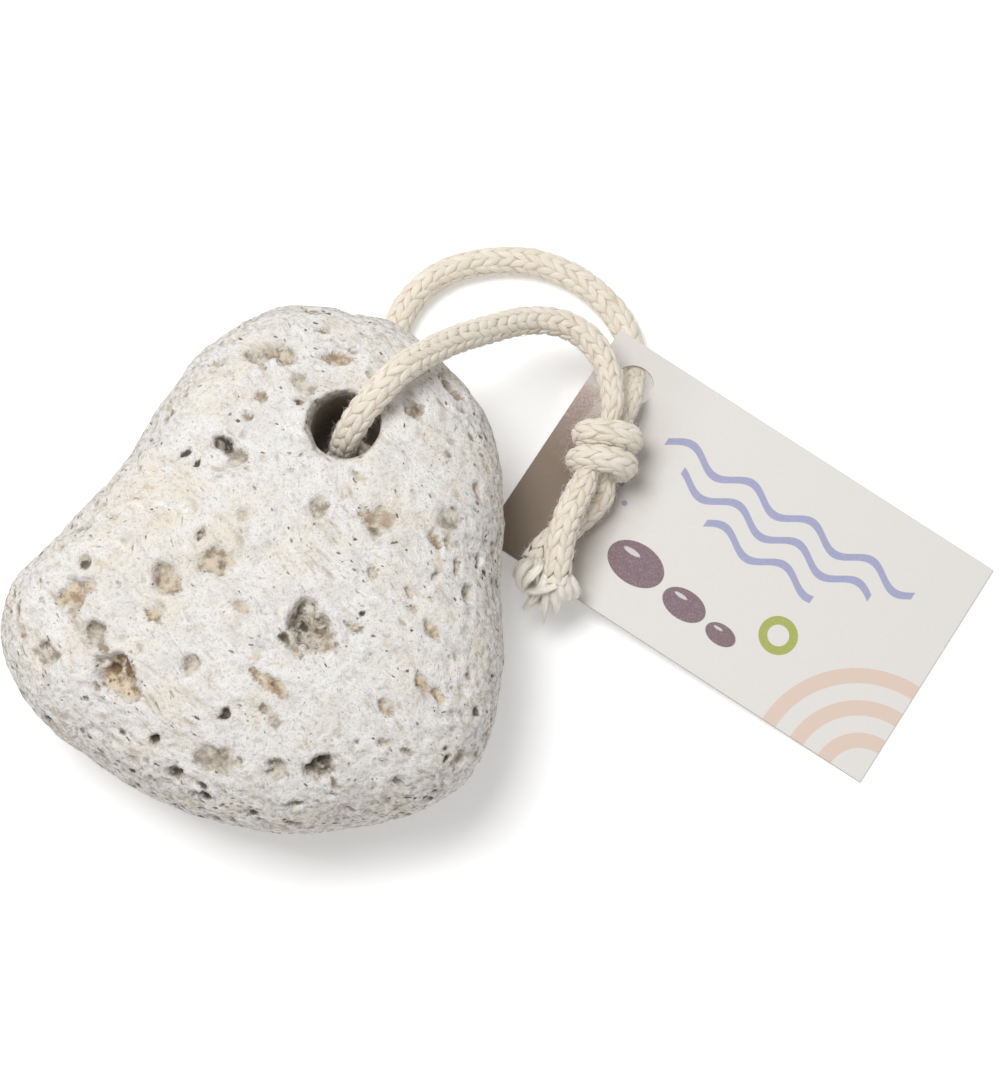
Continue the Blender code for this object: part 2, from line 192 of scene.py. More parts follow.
half_spacing = WRAP_SPACING / 2
route = FRONT_TAIL + inside_knot(FRONT_WAY_IN) + wrap(-half_spacing, *FRONT_WRAP)
route += inside_knot(FRONT_WAY_OUT) + loop_rows() + inside_knot(BACK_WAY_IN)
route += wrap(half_spacing, *BACK_WRAP) + inside_knot(BACK_WAY_OUT) + BACK_TAIL
cord_rows, cord_along = evenly(smooth_curve(route, False, POINTS_PER_SPAN), CORD_STEP)
cord_middle = cord_rows[:, :3]
cord_thickness = cord_rows[:, 3]
cord_length = cord_along[-1]

# Cord's knit. Ten columns of slanting cotton yarn legs, five chains of V-shaped stitches, cover a
# hidden core. Each leg swells out of the stitch before it and dives under the next one.
COLUMNS = 10
STITCH_PITCH = 2.45 * MM
LEG_LENGTH = 1.45
LEG_TILT = 1.3
LEG_SHEAR = 0.12
LEG_SHEAR_WAVE = 9 * MM
LEG_BOW = 0.07
LEG_START = 0.9
LEG_UNEVENNESS = 0.08
LEG_FULLNESS = 0.75
CHAIN_OFFSET = 0.2
LEG_HALF_WIDTH = 0.74 * MM
LEG_HALF_HEIGHT = 0.27 * MM
LEG_RINGS = 8
LEG_SIDES = 8
KNIT_LOW = 2.03 * MM
KNIT_HIGH = 2.20 * MM
CORE_RADIUS = 2.17 * MM
CORE_STOP = 14
CORE_STEP = 3
CORE_SIDES = 16
KNIT_FROM = 1.3 * MM
KNIT_TWIST = math.radians(1.6) / MM
KNIT_SEED = 4


def frames_along(middle):
    """Directions forward, to one side and to the other along a curve, with no twist of their own."""
    forward = np.gradient(middle, axis=0)
    forward /= np.linalg.norm(forward, axis=1)[:, None]
    side = np.zeros_like(forward)
    start = np.cross(forward[0], (0.0, 0.0, 1.0))
    side[0] = start / np.linalg.norm(start)
    for i in range(1, len(middle)):
        kept = side[i - 1] - forward[i] * (side[i - 1] @ forward[i])
        side[i] = kept / np.linalg.norm(kept)
    return forward, side, np.cross(forward, side)


def new_piece(name, points, faces, smooth=True):
    mesh = bpy.data.meshes.new(name)
    mesh.from_pydata(points, [], faces)
    mesh.polygons.foreach_set("use_smooth", [smooth] * len(mesh.polygons))
    return set_in_scene(name, mesh)


def angles_round(count):
    """Even angles once round, in an array."""
    return 2 * np.pi * np.arange(count) / count


def tube_faces(tubes, rings, sides):
    """Faces of tubes whose points are ordered by tube, ring and side."""
    first = (np.arange(tubes) * rings * sides)[:, None, None]
    ring = (np.arange(rings - 1) * sides)[None, :, None]
    k = np.arange(sides)[None, None, :]
    after = (k + 1) % sides
    low = first + ring
    corners = [low + k, low + after, low + sides + after, low + sides + k]
    return np.stack(np.broadcast_arrays(*corners), -1).reshape(-1, 4)


_, cord_side, cord_other = frames_along(cord_middle)


def on_cord(along, angle, radius):
    """Places on the cord from distances along it, angles round it and distances from its middle."""
    def at(columns):
        return np.stack([np.interp(along, cord_along, column) for column in columns.T], -1)

    out = at(cord_side) * np.cos(angle)[..., None] + at(cord_other) * np.sin(angle)[..., None]
    thickness = np.interp(along, cord_along, cord_thickness)
    return at(cord_middle) + out * (radius * thickness)[..., None]


knit_random = np.random.default_rng(KNIT_SEED)
stitches = int(cord_length / STITCH_PITCH) + 1
column, stitch = np.meshgrid(np.arange(COLUMNS), np.arange(stitches), indexing="ij")
column = column.ravel()[:, None, None]
stitch = stitch.ravel()[:, None, None]
legs = len(column)


def varied(low, high):
    """A number of its own for each leg."""
    return knit_random.uniform(low, high, (legs, 1, 1))


lean = np.where(column % 2 == 0, 1.0, -1.0)
leg_share = np.linspace(0, 1, LEG_RINGS)[None, :, None]
round_leg = angles_round(LEG_SIDES)[None, None, :]
belly = np.sin(np.pi * np.clip(leg_share, 0.002, 0.998)) ** LEG_FULLNESS
chain_offset = CHAIN_OFFSET * (column // 2)
leg_start = stitch - LEG_START + chain_offset + varied(-LEG_UNEVENNESS, LEG_UNEVENNESS)
leg_start = leg_start * STITCH_PITCH
leg_length = STITCH_PITCH * LEG_LENGTH * varied(0.92, 1.1)
half_width = LEG_HALF_WIDTH * varied(0.9, 1.1) * belly
half_height = LEG_HALF_HEIGHT * varied(0.9, 1.12) * belly
column_width = 2 * np.pi / COLUMNS
shear = LEG_SHEAR * np.sin(leg_start / LEG_SHEAR_WAVE + 1.0)
shear = shear + varied(-LEG_UNEVENNESS, LEG_UNEVENNESS)
tilt = lean * LEG_TILT + shear
middle_angle = (column + 0.5) * column_width + (leg_share - 0.5) * tilt * column_width
middle_angle = middle_angle + varied(-LEG_UNEVENNESS / 2, LEG_UNEVENNESS / 2)
middle_angle = middle_angle + LEG_BOW * column_width * lean * np.sin(2 * np.pi * leg_share)
along_leg = leg_start + leg_share * leg_length
rise = KNIT_LOW + (KNIT_HIGH - KNIT_LOW) * np.sin(np.pi * leg_share) ** 0.8 * varied(0.85, 1.1)
across_leg = half_width * np.cos(round_leg)
slope = tilt * column_width * KNIT_HIGH / leg_length
turn = 1 / np.sqrt(1 + slope**2)
along_all = along_leg - across_leg * slope * turn
angle_all = middle_angle + across_leg * turn / KNIT_HIGH + KNIT_TWIST * along_all
radius_all = rise + half_height * np.sin(round_leg)
along_all = np.clip(along_all, KNIT_FROM, cord_length)
along_all, angle_all, radius_all = np.broadcast_arrays(along_all, angle_all, radius_all)
leg_points = on_cord(along_all, angle_all, radius_all).reshape(-1, 3)
leg_faces = tube_faces(legs, LEG_RINGS, LEG_SIDES)[:, ::-1]

core_rows = np.arange(CORE_STOP, len(cord_middle) - CORE_STOP, CORE_STEP)
core_angle = angles_round(CORE_SIDES)[None, :]
core_along = cord_along[core_rows][:, None]
core_along, core_angle = np.broadcast_arrays(core_along, core_angle)
core_points = on_cord(core_along, core_angle, np.full(core_along.shape, CORE_RADIUS)).reshape(-1, 3)
core_faces = tube_faces(1, len(core_rows), CORE_SIDES) + len(leg_points)
cord_faces = np.vstack([leg_faces, core_faces]).tolist()
cord = new_piece("cord", np.vstack([leg_points, core_points]), cord_faces)


def set_values(piece, name, values):
    """Gives each point of a piece a number that its material reads."""
    piece.data.attributes.new(name, "FLOAT", "POINT").data.foreach_set("value", values.astype(np.float32))


def set_yarn_map(piece, around, along):
    """Lays the yarn's own coordinates on each point: turns round it, and metres along it."""
    layer = piece.data.uv_layers.new(name="yarn")
    point_of_corner = np.empty(len(piece.data.loops), int)
    piece.data.loops.foreach_get("vertex_index", point_of_corner)
    flat = np.stack([around[point_of_corner], along[point_of_corner]], 1)
    layer.data.foreach_set("uv", flat.ravel().astype(np.float32))


# How high each point stands on its leg; the material paints the low places darker as painted shade.
crest = (radius_all - KNIT_LOW) / (KNIT_HIGH + LEG_HALF_HEIGHT - KNIT_LOW)
yarn_shade = np.broadcast_to(varied(0, 1), along_all.shape)
for name, values in (("crest", crest), ("yarn_shade", yarn_shade)):
    set_values(cord, name, np.concatenate([values.ravel(), np.zeros(len(core_points))]))
around_yarn = np.broadcast_to(np.cos(round_leg) + 3.0 * (column + 7 * stitch), along_all.shape)
along_yarn = np.broadcast_to(leg_share * leg_length / MM, along_all.shape)
set_yarn_map(
    cord,
    np.concatenate([around_yarn.ravel(), core_angle.ravel() * 4]),
    np.concatenate([along_yarn.ravel(), core_along.ravel() / MM]),
)


def put(tree, kind, inputs=None, **settings):
    """Adds a shader node with its settings and its inputs, each a value or a node's output."""
    made = tree.nodes.new(kind)
    for name, value in settings.items():
        setattr(made, name, value)
    for key, value in (inputs or {}).items():
        if isinstance(value, bpy.types.NodeSocket):
            tree.links.new(value, made.inputs[key])
        else:
            made.inputs[key].default_value = value
    return made


def blend(tree, share, first, second, how="MIX"):
    """Mixes two colours, each an output or red, green and blue."""
    mix = put(tree, "ShaderNodeMix", data_type="RGBA", blend_type=how)
    for key, value in ((0, share), (6, first), (7, second)):
        if isinstance(value, bpy.types.NodeSocket):
            tree.links.new(value, mix.inputs[key])
        elif key == 0:
            mix.inputs[key].default_value = value
        else:
            mix.inputs[key].default_value = (*value, 1.0)
    return mix.outputs[2]


def spread_out(tree, value, low, high, to_low=0.0, to_high=1.0):
    """Maps a value's range to another one, smoothly and held at both ends."""
    mapped = put(
        tree,
        "ShaderNodeMapRange",
        {"Value": value, "From Min": low, "From Max": high, "To Min": to_low, "To Max": to_high},
        interpolation_type="SMOOTHSTEP",
    )
    return mapped.outputs["Result"]


def calc(tree, operation, first, second=0.0):
    """A sum on one or two numbers, each a value or a node's output."""
    return put(tree, "ShaderNodeMath", {0: first, 1: second}, operation=operation).outputs[0]


def times(tree, first, second):
    return calc(tree, "MULTIPLY", first, second)


def vector_calc(tree, operation, first, second):
    return put(tree, "ShaderNodeVectorMath", {0: first, 1: second}, operation=operation).outputs[0]


def value_of(tree, name):
    """The number that set_values gave each point."""
    return put(tree, "ShaderNodeAttribute", attribute_name=name).outputs["Fac"]


def new_material(name, roughness):
    """A material with its shader's roughness set; returns it, its nodes and its shader."""
    material = bpy.data.materials.new(name)
    material.use_nodes = True
    tree = material.node_tree
    shader = tree.nodes["Principled BSDF"]
    shader.inputs["Roughness"].default_value = roughness
    return material, tree, shader


def finish_surface(tree, shader, colour, height, strength, distance):
    """Gives a shader its colour and its fine relief, which is up to distance metres high."""
    tree.links.new(colour, shader.inputs["Base Color"])
    relief = put(tree, "ShaderNodeBump", {"Height": height, "Strength": strength, "Distance": distance})
    tree.links.new(relief.outputs["Normal"], shader.inputs["Normal"])


cotton_strands = bpy.data.node_groups.new("cotton_strands", "ShaderNodeTree")
for socket, in_out in (("Across", "INPUT"), ("Along", "INPUT"), ("Fibres", "OUTPUT")):
    cotton_strands.interface.new_socket(socket, in_out=in_out, socket_type="NodeSocketFloat")
asked = put(cotton_strands, "NodeGroupInput")
yarn_map = put(cotton_strands, "ShaderNodeUVMap", uv_map="yarn")
strand_scale = put(
    cotton_strands,
    "ShaderNodeCombineXYZ",
    {"X": asked.outputs["Across"], "Y": asked.outputs["Along"], "Z": 1.0},
)
stretched = vector_calc(cotton_strands, "MULTIPLY", yarn_map.outputs["UV"], strand_scale.outputs[0])
strand_noise = put(
    cotton_strands,
    "ShaderNodeTexNoise",
    {"Vector": stretched, "Scale": 1.0, "Detail": 3.0, "Roughness": 0.6},
)
put(cotton_strands, "NodeGroupOutput", {"Fibres": strand_noise.outputs["Fac"]})

cotton, tree, shader = new_material("knitted_cotton", 0.9)
fibres = put(tree, "ShaderNodeGroup", {"Across": 2.6, "Along": 0.35}, node_tree=cotton_strands)
fibres = fibres.outputs["Fibres"]
yarn_colour = blend(tree, value_of(tree, "yarn_shade"), (0.835, 0.76, 0.635), (0.89, 0.83, 0.725))
# Painted shade: the yarn is painted darker where the legs dive under one another and on the core between
# them.
on_crest = spread_out(tree, value_of(tree, "crest"), 0.0, 0.40)
yarn_colour = blend(tree, on_crest, (0.745, 0.63, 0.47), yarn_colour)
yarn_colour = blend(tree, spread_out(tree, fibres, 0.3, 0.58, 0.5, 0.0), yarn_colour, (0.72, 0.61, 0.47))
finish_surface(tree, shader, yarn_colour, fibres, 0.8, 0.2 * MM)
shader.inputs["Sheen Weight"].default_value = 0.25
shader.inputs["Sheen Roughness"].default_value = 0.6
cord.data.materials.append(cotton)

# Fuzz. Loose ends of cotton fibre stand off the whole cord and make its soft edge. They are longest
# at the knot, where the cord has been handled most.
FUZZ_COUNT = 10600
FUZZ_LENGTH = (0.5 * MM, 2.0 * MM)
FUZZ_RADIUS = 0.026 * MM
FUZZ_FROM_END = 0.5 * MM
FUZZ_KNOT_REACH = 8.0 * MM
FUZZ_KNOT_GAIN = 0.6
FUZZ_BEND = 1.5
FUZZ_RINGS = 4
FUZZ_SIDES = 3


def between(limits, share):
    """A number at a share of the way from one limit to the other."""
    return limits[0] + (limits[1] - limits[0]) * share


def fibre_tubes(ways, thickness):
    """Points of thin tubes along ways, an array of tubes, rings and places; thickness ends in a point."""
    tubes, rings, _ = ways.shape
    forward = np.gradient(ways, axis=1)
    forward /= np.linalg.norm(forward, axis=2, keepdims=True) + 1e-12
    side = np.cross(forward, (0.31, 0.23, 0.92))
    side /= np.linalg.norm(side, axis=2, keepdims=True) + 1e-12
    other = np.cross(forward, side)
    a = angles_round(FUZZ_SIDES)[None, None, :, None]
    ring = side[:, :, None] * np.cos(a) + other[:, :, None] * np.sin(a)
    taper = np.linspace(1, 0.12, rings)[None, :, None, None]
    size = np.broadcast_to(thickness, (tubes,))[:, None, None, None]
    return (ways[:, :, None] + ring * taper * size).reshape(-1, 3)


fuzz_along = knit_random.uniform(FUZZ_FROM_END, cord_length - FUZZ_FROM_END, FUZZ_COUNT)
fuzz_angle = knit_random.uniform(0, 2 * np.pi, FUZZ_COUNT)
fuzz_length = between(FUZZ_LENGTH, knit_random.random(FUZZ_COUNT) ** 2)
fuzz_lay = knit_random.uniform(-1.2, 1.2, FUZZ_COUNT)[:, None]
fuzz_swing = knit_random.uniform(-1.0, 1.0, FUZZ_COUNT)[:, None]
fuzz_stand = knit_random.uniform(0.25, 0.75, FUZZ_COUNT)[:, None]
fuzz_root = on_cord(fuzz_along, fuzz_angle, np.full(FUZZ_COUNT, KNIT_HIGH))
fuzz_from_knot = np.linalg.norm(fuzz_root - np.array(KNOT_MIDDLE), axis=-1) / FUZZ_KNOT_REACH
fuzz_length *= 1 + FUZZ_KNOT_GAIN * np.exp(-(fuzz_from_knot**2))
fuzz_share = np.linspace(0, 1, FUZZ_RINGS)[None, :]
fuzz_reach = fuzz_length[:, None] * fuzz_share
fuzz_way = on_cord(
    np.clip(fuzz_along[:, None] + fuzz_lay * fuzz_reach, 0, cord_length),
    fuzz_angle[:, None] + fuzz_swing * fuzz_reach / (CORD_DIAMETER / 2),
    KNIT_HIGH + fuzz_length[:, None] * np.sin(fuzz_share * FUZZ_BEND) * fuzz_stand,
)
fuzz_way[..., 2] = np.maximum(fuzz_way[..., 2], 0.05 * MM)
fuzz_points = fibre_tubes(fuzz_way, FUZZ_RADIUS)
fuzz_faces = tube_faces(FUZZ_COUNT, FUZZ_RINGS, FUZZ_SIDES)
fuzz = new_piece("cord_fuzz", fuzz_points, fuzz_faces.tolist())
loose_cotton, tree, shader = new_material("loose_cotton", 0.8)
drift = put(tree, "ShaderNodeTexNoise", {"Scale": 400.0, "Detail": 2.0}).outputs["Fac"]
fuzz_colour = blend(tree, drift, (0.90, 0.855, 0.775), (0.96, 0.94, 0.90))
tree.links.new(fuzz_colour, shader.inputs["Base Color"])
shader.inputs["Sheen Weight"].default_value = 0.3
fuzz.data.materials.append(loose_cotton)

# Frayed ends. Where the cord was cut, its yarns have come apart into tufts of fine fibres: a brush
# cut straight, curled loops and drawn-out points. Each tuft follows one line of places, in
# millimetres, with how wide it is there.
FRONT_TUFTS = [
    [(50.0, 0.6, 13.2, 1.5), (50.6, -0.8, 13.3, 1.6), (51.4, -2.4, 12.0, 1.8), (51.9, -3.6, 10.6, 1.5)],
    [(51.0, 0.8, 12.2, 1.3), (51.8, -0.6, 12.0, 1.5), (52.7, -2.0, 10.8, 1.6), (53.2, -3.0, 9.6, 1.3)],
    [(49.4, 0.2, 13.6, 1.4), (49.8, -1.2, 13.6, 1.5), (50.4, -2.8, 12.4, 1.6), (50.9, -3.9, 10.9, 1.3)],
    [(48.8, -0.8, 13.4, 1.3), (49.3, -2.6, 12.6, 1.5), (49.8, -4.4, 10.6, 1.4), (49.6, -5.6, 8.6, 0.7)],
    [(48.2, -0.6, 13.4, 1.0), (48.0, -2.6, 12.6, 1.0), (47.8, -5.0, 10.2, 0.7), (47.5, -7.1, 7.8, 0.1)],
    [(48.0, -0.6, 12.8, 1.1), (46.8, -2.4, 11.8, 1.2), (45.4, -3.8, 9.8, 1.1), (44.2, -4.7, 8.2, 0.5)],
    [(49.6, -2.0, 14.0, 0.7), (48.0, -2.7, 13.9, 0.7), (46.2, -2.9, 13.2, 0.7), (44.6, -2.6, 12.0, 0.5)],
    [(48.8, -1.2, 10.8, 1.4), (47.8, -3.2, 9.8, 1.5), (47.0, -4.8, 8.6, 1.2)],
]
BACK_TUFTS = [
    [
        (46.2, 3.2, 11.4, 1.2), (45.0, 2.0, 12.8, 1.2), (43.7, 0.4, 12.6, 1.1), (43.4, -1.2, 11.4, 0.9),
        (44.4, -2.2, 10.2, 0.6),
    ],
    [
        (46.8, 2.8, 12.0, 1.1), (46.8, 1.2, 13.6, 1.2), (45.8, -0.2, 14.0, 1.2), (44.6, -1.0, 13.0, 1.0),
        (44.2, -2.2, 11.6, 0.5),
    ],
    [(45.4, 3.2, 10.4, 1.1), (43.6, 2.0, 11.0, 1.1), (42.8, 0.2, 10.2, 0.8)],
    [(46.0, 2.6, 9.4, 1.2), (45.4, 0.6, 9.8, 1.3), (45.4, -1.6, 9.4, 1.3), (46.4, -3.2, 8.8, 0.8)],
    [
        (47.0, 2.2, 11.2, 1.1), (47.7, 0.6, 12.8, 1.1), (47.6, -1.2, 13.2, 1.1), (46.4, -2.4, 12.2, 0.8),
        (45.2, -2.0, 11.2, 0.4),
    ],
]
TUFT_FIBRES = 130
TUFT_RINGS = 10
TUFT_FIBRE_RADIUS = 0.06 * MM
TUFT_SIDES = 10
TUFT_CURL = 0.20 * MM
TUFT_SPREAD = (1.3, 0.8)
TUFT_BODY = (0.62, 0.38)
TUFT_SEED = 11

combed_cotton, tree, shader = new_material("combed_cotton", 0.85)
fibres = put(tree, "ShaderNodeGroup", {"Across": 6.0, "Along": 0.4}, node_tree=cotton_strands)
fibres = fibres.outputs["Fibres"]
tuft_colour = blend(tree, spread_out(tree, fibres, 0.30, 0.55), (0.88, 0.79, 0.65), (0.98, 0.945, 0.875))
finish_surface(tree, shader, tuft_colour, fibres, 0.5, 0.2 * MM)
shader.inputs["Sheen Weight"].default_value = 0.25


def tuft(rows, seeded):
    """Ways of one tuft's fibres, laid on its packed middle, and that middle's own points."""
    path = smooth_curve(rows, False, 8) * MM
    length = np.linalg.norm(np.diff(path[:, :3], axis=0), axis=1).sum()
    path, _ = evenly(path, length / (TUFT_RINGS - 1) * 0.999)
    path = path[:TUFT_RINGS]
    _, side, other = frames_along(path[:, :3])
    width = path[None, :, 3, None]
    spot = np.sqrt(seeded.uniform(0.5, 1.1, TUFT_FIBRES)) * 0.5
    angle = seeded.uniform(0, 2 * np.pi, TUFT_FIBRES)
    share = np.linspace(0, 1, len(path))[None, :, None]
    phase = seeded.uniform(0, 2 * np.pi, (TUFT_FIBRES, 1, 1))
    wave = np.sin(phase + share * seeded.uniform(2, 7, (TUFT_FIBRES, 1, 1))) * TUFT_CURL * share
    across = (spot * np.cos(angle))[:, None, None] * width * TUFT_SPREAD[0] + wave
    up = (spot * np.sin(angle))[:, None, None] * width * TUFT_SPREAD[1] + wave[::-1] * 0.6
    ways = path[None, :, :3] + side[None] * across + other[None] * up
    reach = seeded.uniform(0.8, 1.05, (TUFT_FIBRES, 1, 1))
    ways = ways[:, :1] + (ways - ways[:, :1]) * reach
    a = angles_round(TUFT_SIDES)[None, :, None]
    offset = seeded.uniform(0, 50, TUFT_FIBRES + 1)
    along_yarn = np.linspace(0, length / MM, len(path))
    level = np.zeros(FUZZ_SIDES)
    fibre_map = np.broadcast_arrays(offset[:-1, None, None], along_yarn[None, :, None], level)[:2]
    middle_map = np.broadcast_arrays(offset[-1] + 1.5 * np.cos(a[:, :, 0]), along_yarn[:, None])
    closing = np.sin(np.pi * np.linspace(0.04, 0.97, len(path)))[:, None, None] ** 0.4
    ring = side[:, None] * np.cos(a) * TUFT_BODY[0] + other[:, None] * np.sin(a) * TUFT_BODY[1]
    middle = path[:, None, :3] + ring * closing * path[:, 3, None, None]
    return ways, middle.reshape(-1, 3), fibre_map, middle_map


def frayed_end(name, tufts):
    """One piece of all the tufts at a cut end."""
    seeded = np.random.default_rng(TUFT_SEED)
    made = [tuft(rows, seeded) for rows in tufts]
    ways = np.concatenate([each[0] for each in made])
    fibre_points = fibre_tubes(ways, TUFT_FIBRE_RADIUS * seeded.uniform(0.7, 1.3, len(ways)))
    fibre_faces = tube_faces(len(ways), TUFT_RINGS, FUZZ_SIDES)
    middle_faces = tube_faces(len(tufts), TUFT_RINGS, TUFT_SIDES) + len(fibre_points)
    points = np.vstack([fibre_points] + [each[1] for each in made])
    end = new_piece(name, points, np.concatenate([fibre_faces, middle_faces]).tolist())
    yarn_maps = [each[2] for each in made] + [each[3] for each in made]
    set_yarn_map(
        end,
        np.concatenate([around.ravel() for around, _ in yarn_maps]),
        np.concatenate([along.ravel() for _, along in yarn_maps]),
    )
    end.data.materials.append(combed_cotton)
    return end


front_fray = frayed_end("frayed_end_front", FRONT_TUFTS)
back_fray = frayed_end("frayed_end_back", BACK_TUFTS)
for piece in (cord, fuzz, front_fray, back_fray):
    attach(piece, "root")
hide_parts("cord_loop", "cord_knot", "cord_tail_front", "cord_tail_back")

# Stone. One natural pebble of pale pumice, worn smooth by water and drilled right through. Its broad
# form is the CAD's; the pits, gas bubbles and rough grain of the broken glass foam are cut in here.
STONE_OUTLINE = [
    (8.1, 43.9), (19.4, 41.7), (25.8, 39.4), (33.6, 31.4), (38.3, 24.6), (40.7, 16.1), (41.2, 8.0),
    (40.8, -5.0), (40.3, -18.8), (38.0, -30.6), (32.9, -37.7), (24.3, -41.7), (9.8, -44.2),
    (-1.6, -43.5), (-15.1, -39.2), (-26.0, -32.3), (-34.3, -26.0), (-39.6, -17.5), (-41.3, -9.7),
    (-38.9, -2.9), (-31.6, 4.6), (-22.3, 15.3), (-14.5, 27.8), (-9.4, 35.5), (-3.4, 40.2), (2.3, 43.1),
]
STONE_HEIGHT = 40.0
STONE_WIDEST_AT = 20.0
STONE_SQUARENESS = 2.5
STONE_CELLS = 80
LUMP_HEIGHT = 0.7
LUMP_SIZE = 16.0
WORN_DEPTH = 1.5
LIFT_TOWARDS = (0.37, 0.93)
LIFT_SLOPE = 0.36
LIFT_FROM = 8.0
LIFT_SOFTNESS = 10.0
HOLE_CENTRE = (15.3, 19.0)
HOLE_RADIUS = 5.5
HOLE_RIM = 1.2
DRILL_SIDES = 72
STONE_VOXEL = 0.50 * MM


def pebble_directions(cells):
    """A bmesh of a cube's faces in even cells, each point moved to a direction of length 1."""
    bm = bmesh.new()
    bmesh.ops.create_cube(bm, size=2.0)
    bmesh.ops.subdivide_edges(bm, edges=bm.edges[:], cuts=cells - 1, use_grid_fill=True)
    for vertex in bm.verts:
        even = [math.tan(value * math.pi / 4) for value in vertex.co]
        vertex.co = Vector(even).normalized()
    return bm


outline = smooth_curve(STONE_OUTLINE, True, 8)
outline_angle = np.arctan2(outline[:, 1], outline[:, 0])
outline_order = np.argsort(outline_angle)
outline_angle = outline_angle[outline_order]
outline_radius = np.hypot(outline[:, 0], outline[:, 1])[outline_order]
pebble = pebble_directions(STONE_CELLS)
power = 2 / STONE_SQUARENESS
for vertex in pebble.verts:
    towards = vertex.co
    angle = math.atan2(towards.y, towards.x)
    reach = math.hypot(towards.x, towards.y) ** power
    reach *= float(np.interp(angle, outline_angle, outline_radius, period=2 * math.pi))
    x = reach * math.cos(angle)
    y = reach * math.sin(angle)
    climb = abs(towards.z) ** power
    if towards.z >= 0:
        z = STONE_WIDEST_AT + climb * (STONE_HEIGHT - STONE_WIDEST_AT)
    else:
        past = LIFT_TOWARDS[0] * x + LIFT_TOWARDS[1] * y - LIFT_FROM
        lift = LIFT_SLOPE * (math.hypot(past, LIFT_SOFTNESS) + past) / 2
        z = STONE_WIDEST_AT - climb * (STONE_WIDEST_AT + WORN_DEPTH - lift)
    place = Vector((x, y, z))
    lump = noise.noise(place / LUMP_SIZE) * LUMP_HEIGHT
    outward = Vector((x, y, z - STONE_WIDEST_AT)).normalized()
    vertex.co = (place + outward * lump) * MM
worn = bmesh.ops.bisect_plane(
    pebble,
    geom=pebble.verts[:] + pebble.edges[:] + pebble.faces[:],
    plane_co=(0, 0, 0),
    plane_no=(0, 0, -1),
    clear_outer=True,
)
rim = [item for item in worn["geom_cut"] if isinstance(item, bmesh.types.BMEdge)]
bmesh.ops.contextual_create(pebble, geom=rim)
bmesh.ops.recalc_face_normals(pebble, faces=pebble.faces)


def made_from(name, shape):
    """An object made from a bmesh, which it uses up."""
    mesh = bpy.data.meshes.new(name)
    shape.to_mesh(mesh)
    shape.free()
    return set_in_scene(name, mesh)


stone = made_from("pumice_stone", pebble)


def surface_height(from_z):
    """Where a drill at the hole's centre, from above or below, meets the pebble, in millimetres."""
    start = Vector((*HOLE_CENTRE, from_z)) * MM
    return stone.ray_cast(start, Vector((0, 0, -math.copysign(1, from_z))))[1].z / MM


bpy.context.view_layer.update()
top = surface_height(100)
bottom = surface_height(-100)
drill_profile = [
    (HOLE_RADIUS + 3 * HOLE_RIM, bottom - 3 * HOLE_RIM),
    (HOLE_RADIUS + 0.8 * HOLE_RIM, bottom),
    (HOLE_RADIUS, bottom + 1.5 * HOLE_RIM),
    (HOLE_RADIUS, top - 1.5 * HOLE_RIM),
    (HOLE_RADIUS + 0.5 * HOLE_RIM, top),
    (HOLE_RADIUS + 2 * HOLE_RIM, top + 2.5 * HOLE_RIM),
]
drill = bmesh.new()
rings = []
for radius, height in drill_profile:
    ring = [
        (HOLE_CENTRE[0] + radius * math.cos(a), HOLE_CENTRE[1] + radius * math.sin(a), height)
        for a in angles_round(DRILL_SIDES)
    ]
    rings.append([drill.verts.new(Vector(place) * MM) for place in ring])
for low, high in zip(rings, rings[1:]):
    for k in range(DRILL_SIDES):
        after = (k + 1) % DRILL_SIDES
        drill.faces.new((low[k], low[after], high[after], high[k]))
drill.faces.new(list(reversed(rings[0])))
drill.faces.new(rings[-1])
drill_cutter = made_from("drill", drill)
hole = stone.modifiers.new("hole", "BOOLEAN")
hole.operation = "DIFFERENCE"
hole.solver = "EXACT"
hole.object = drill_cutter
fine = stone.modifiers.new("fine", "REMESH")
fine.mode = "VOXEL"
fine.voxel_size = STONE_VOXEL
eased = stone.modifiers.new("eased", "SMOOTH")
eased.factor = 0.5
eased.iterations = 3
bpy.context.view_layer.update()
worked = bpy.data.meshes.new_from_object(stone.evaluated_get(bpy.context.evaluated_depsgraph_get()))
stone.modifiers.clear()
stone.data = worked
bpy.data.objects.remove(drill_cutter)

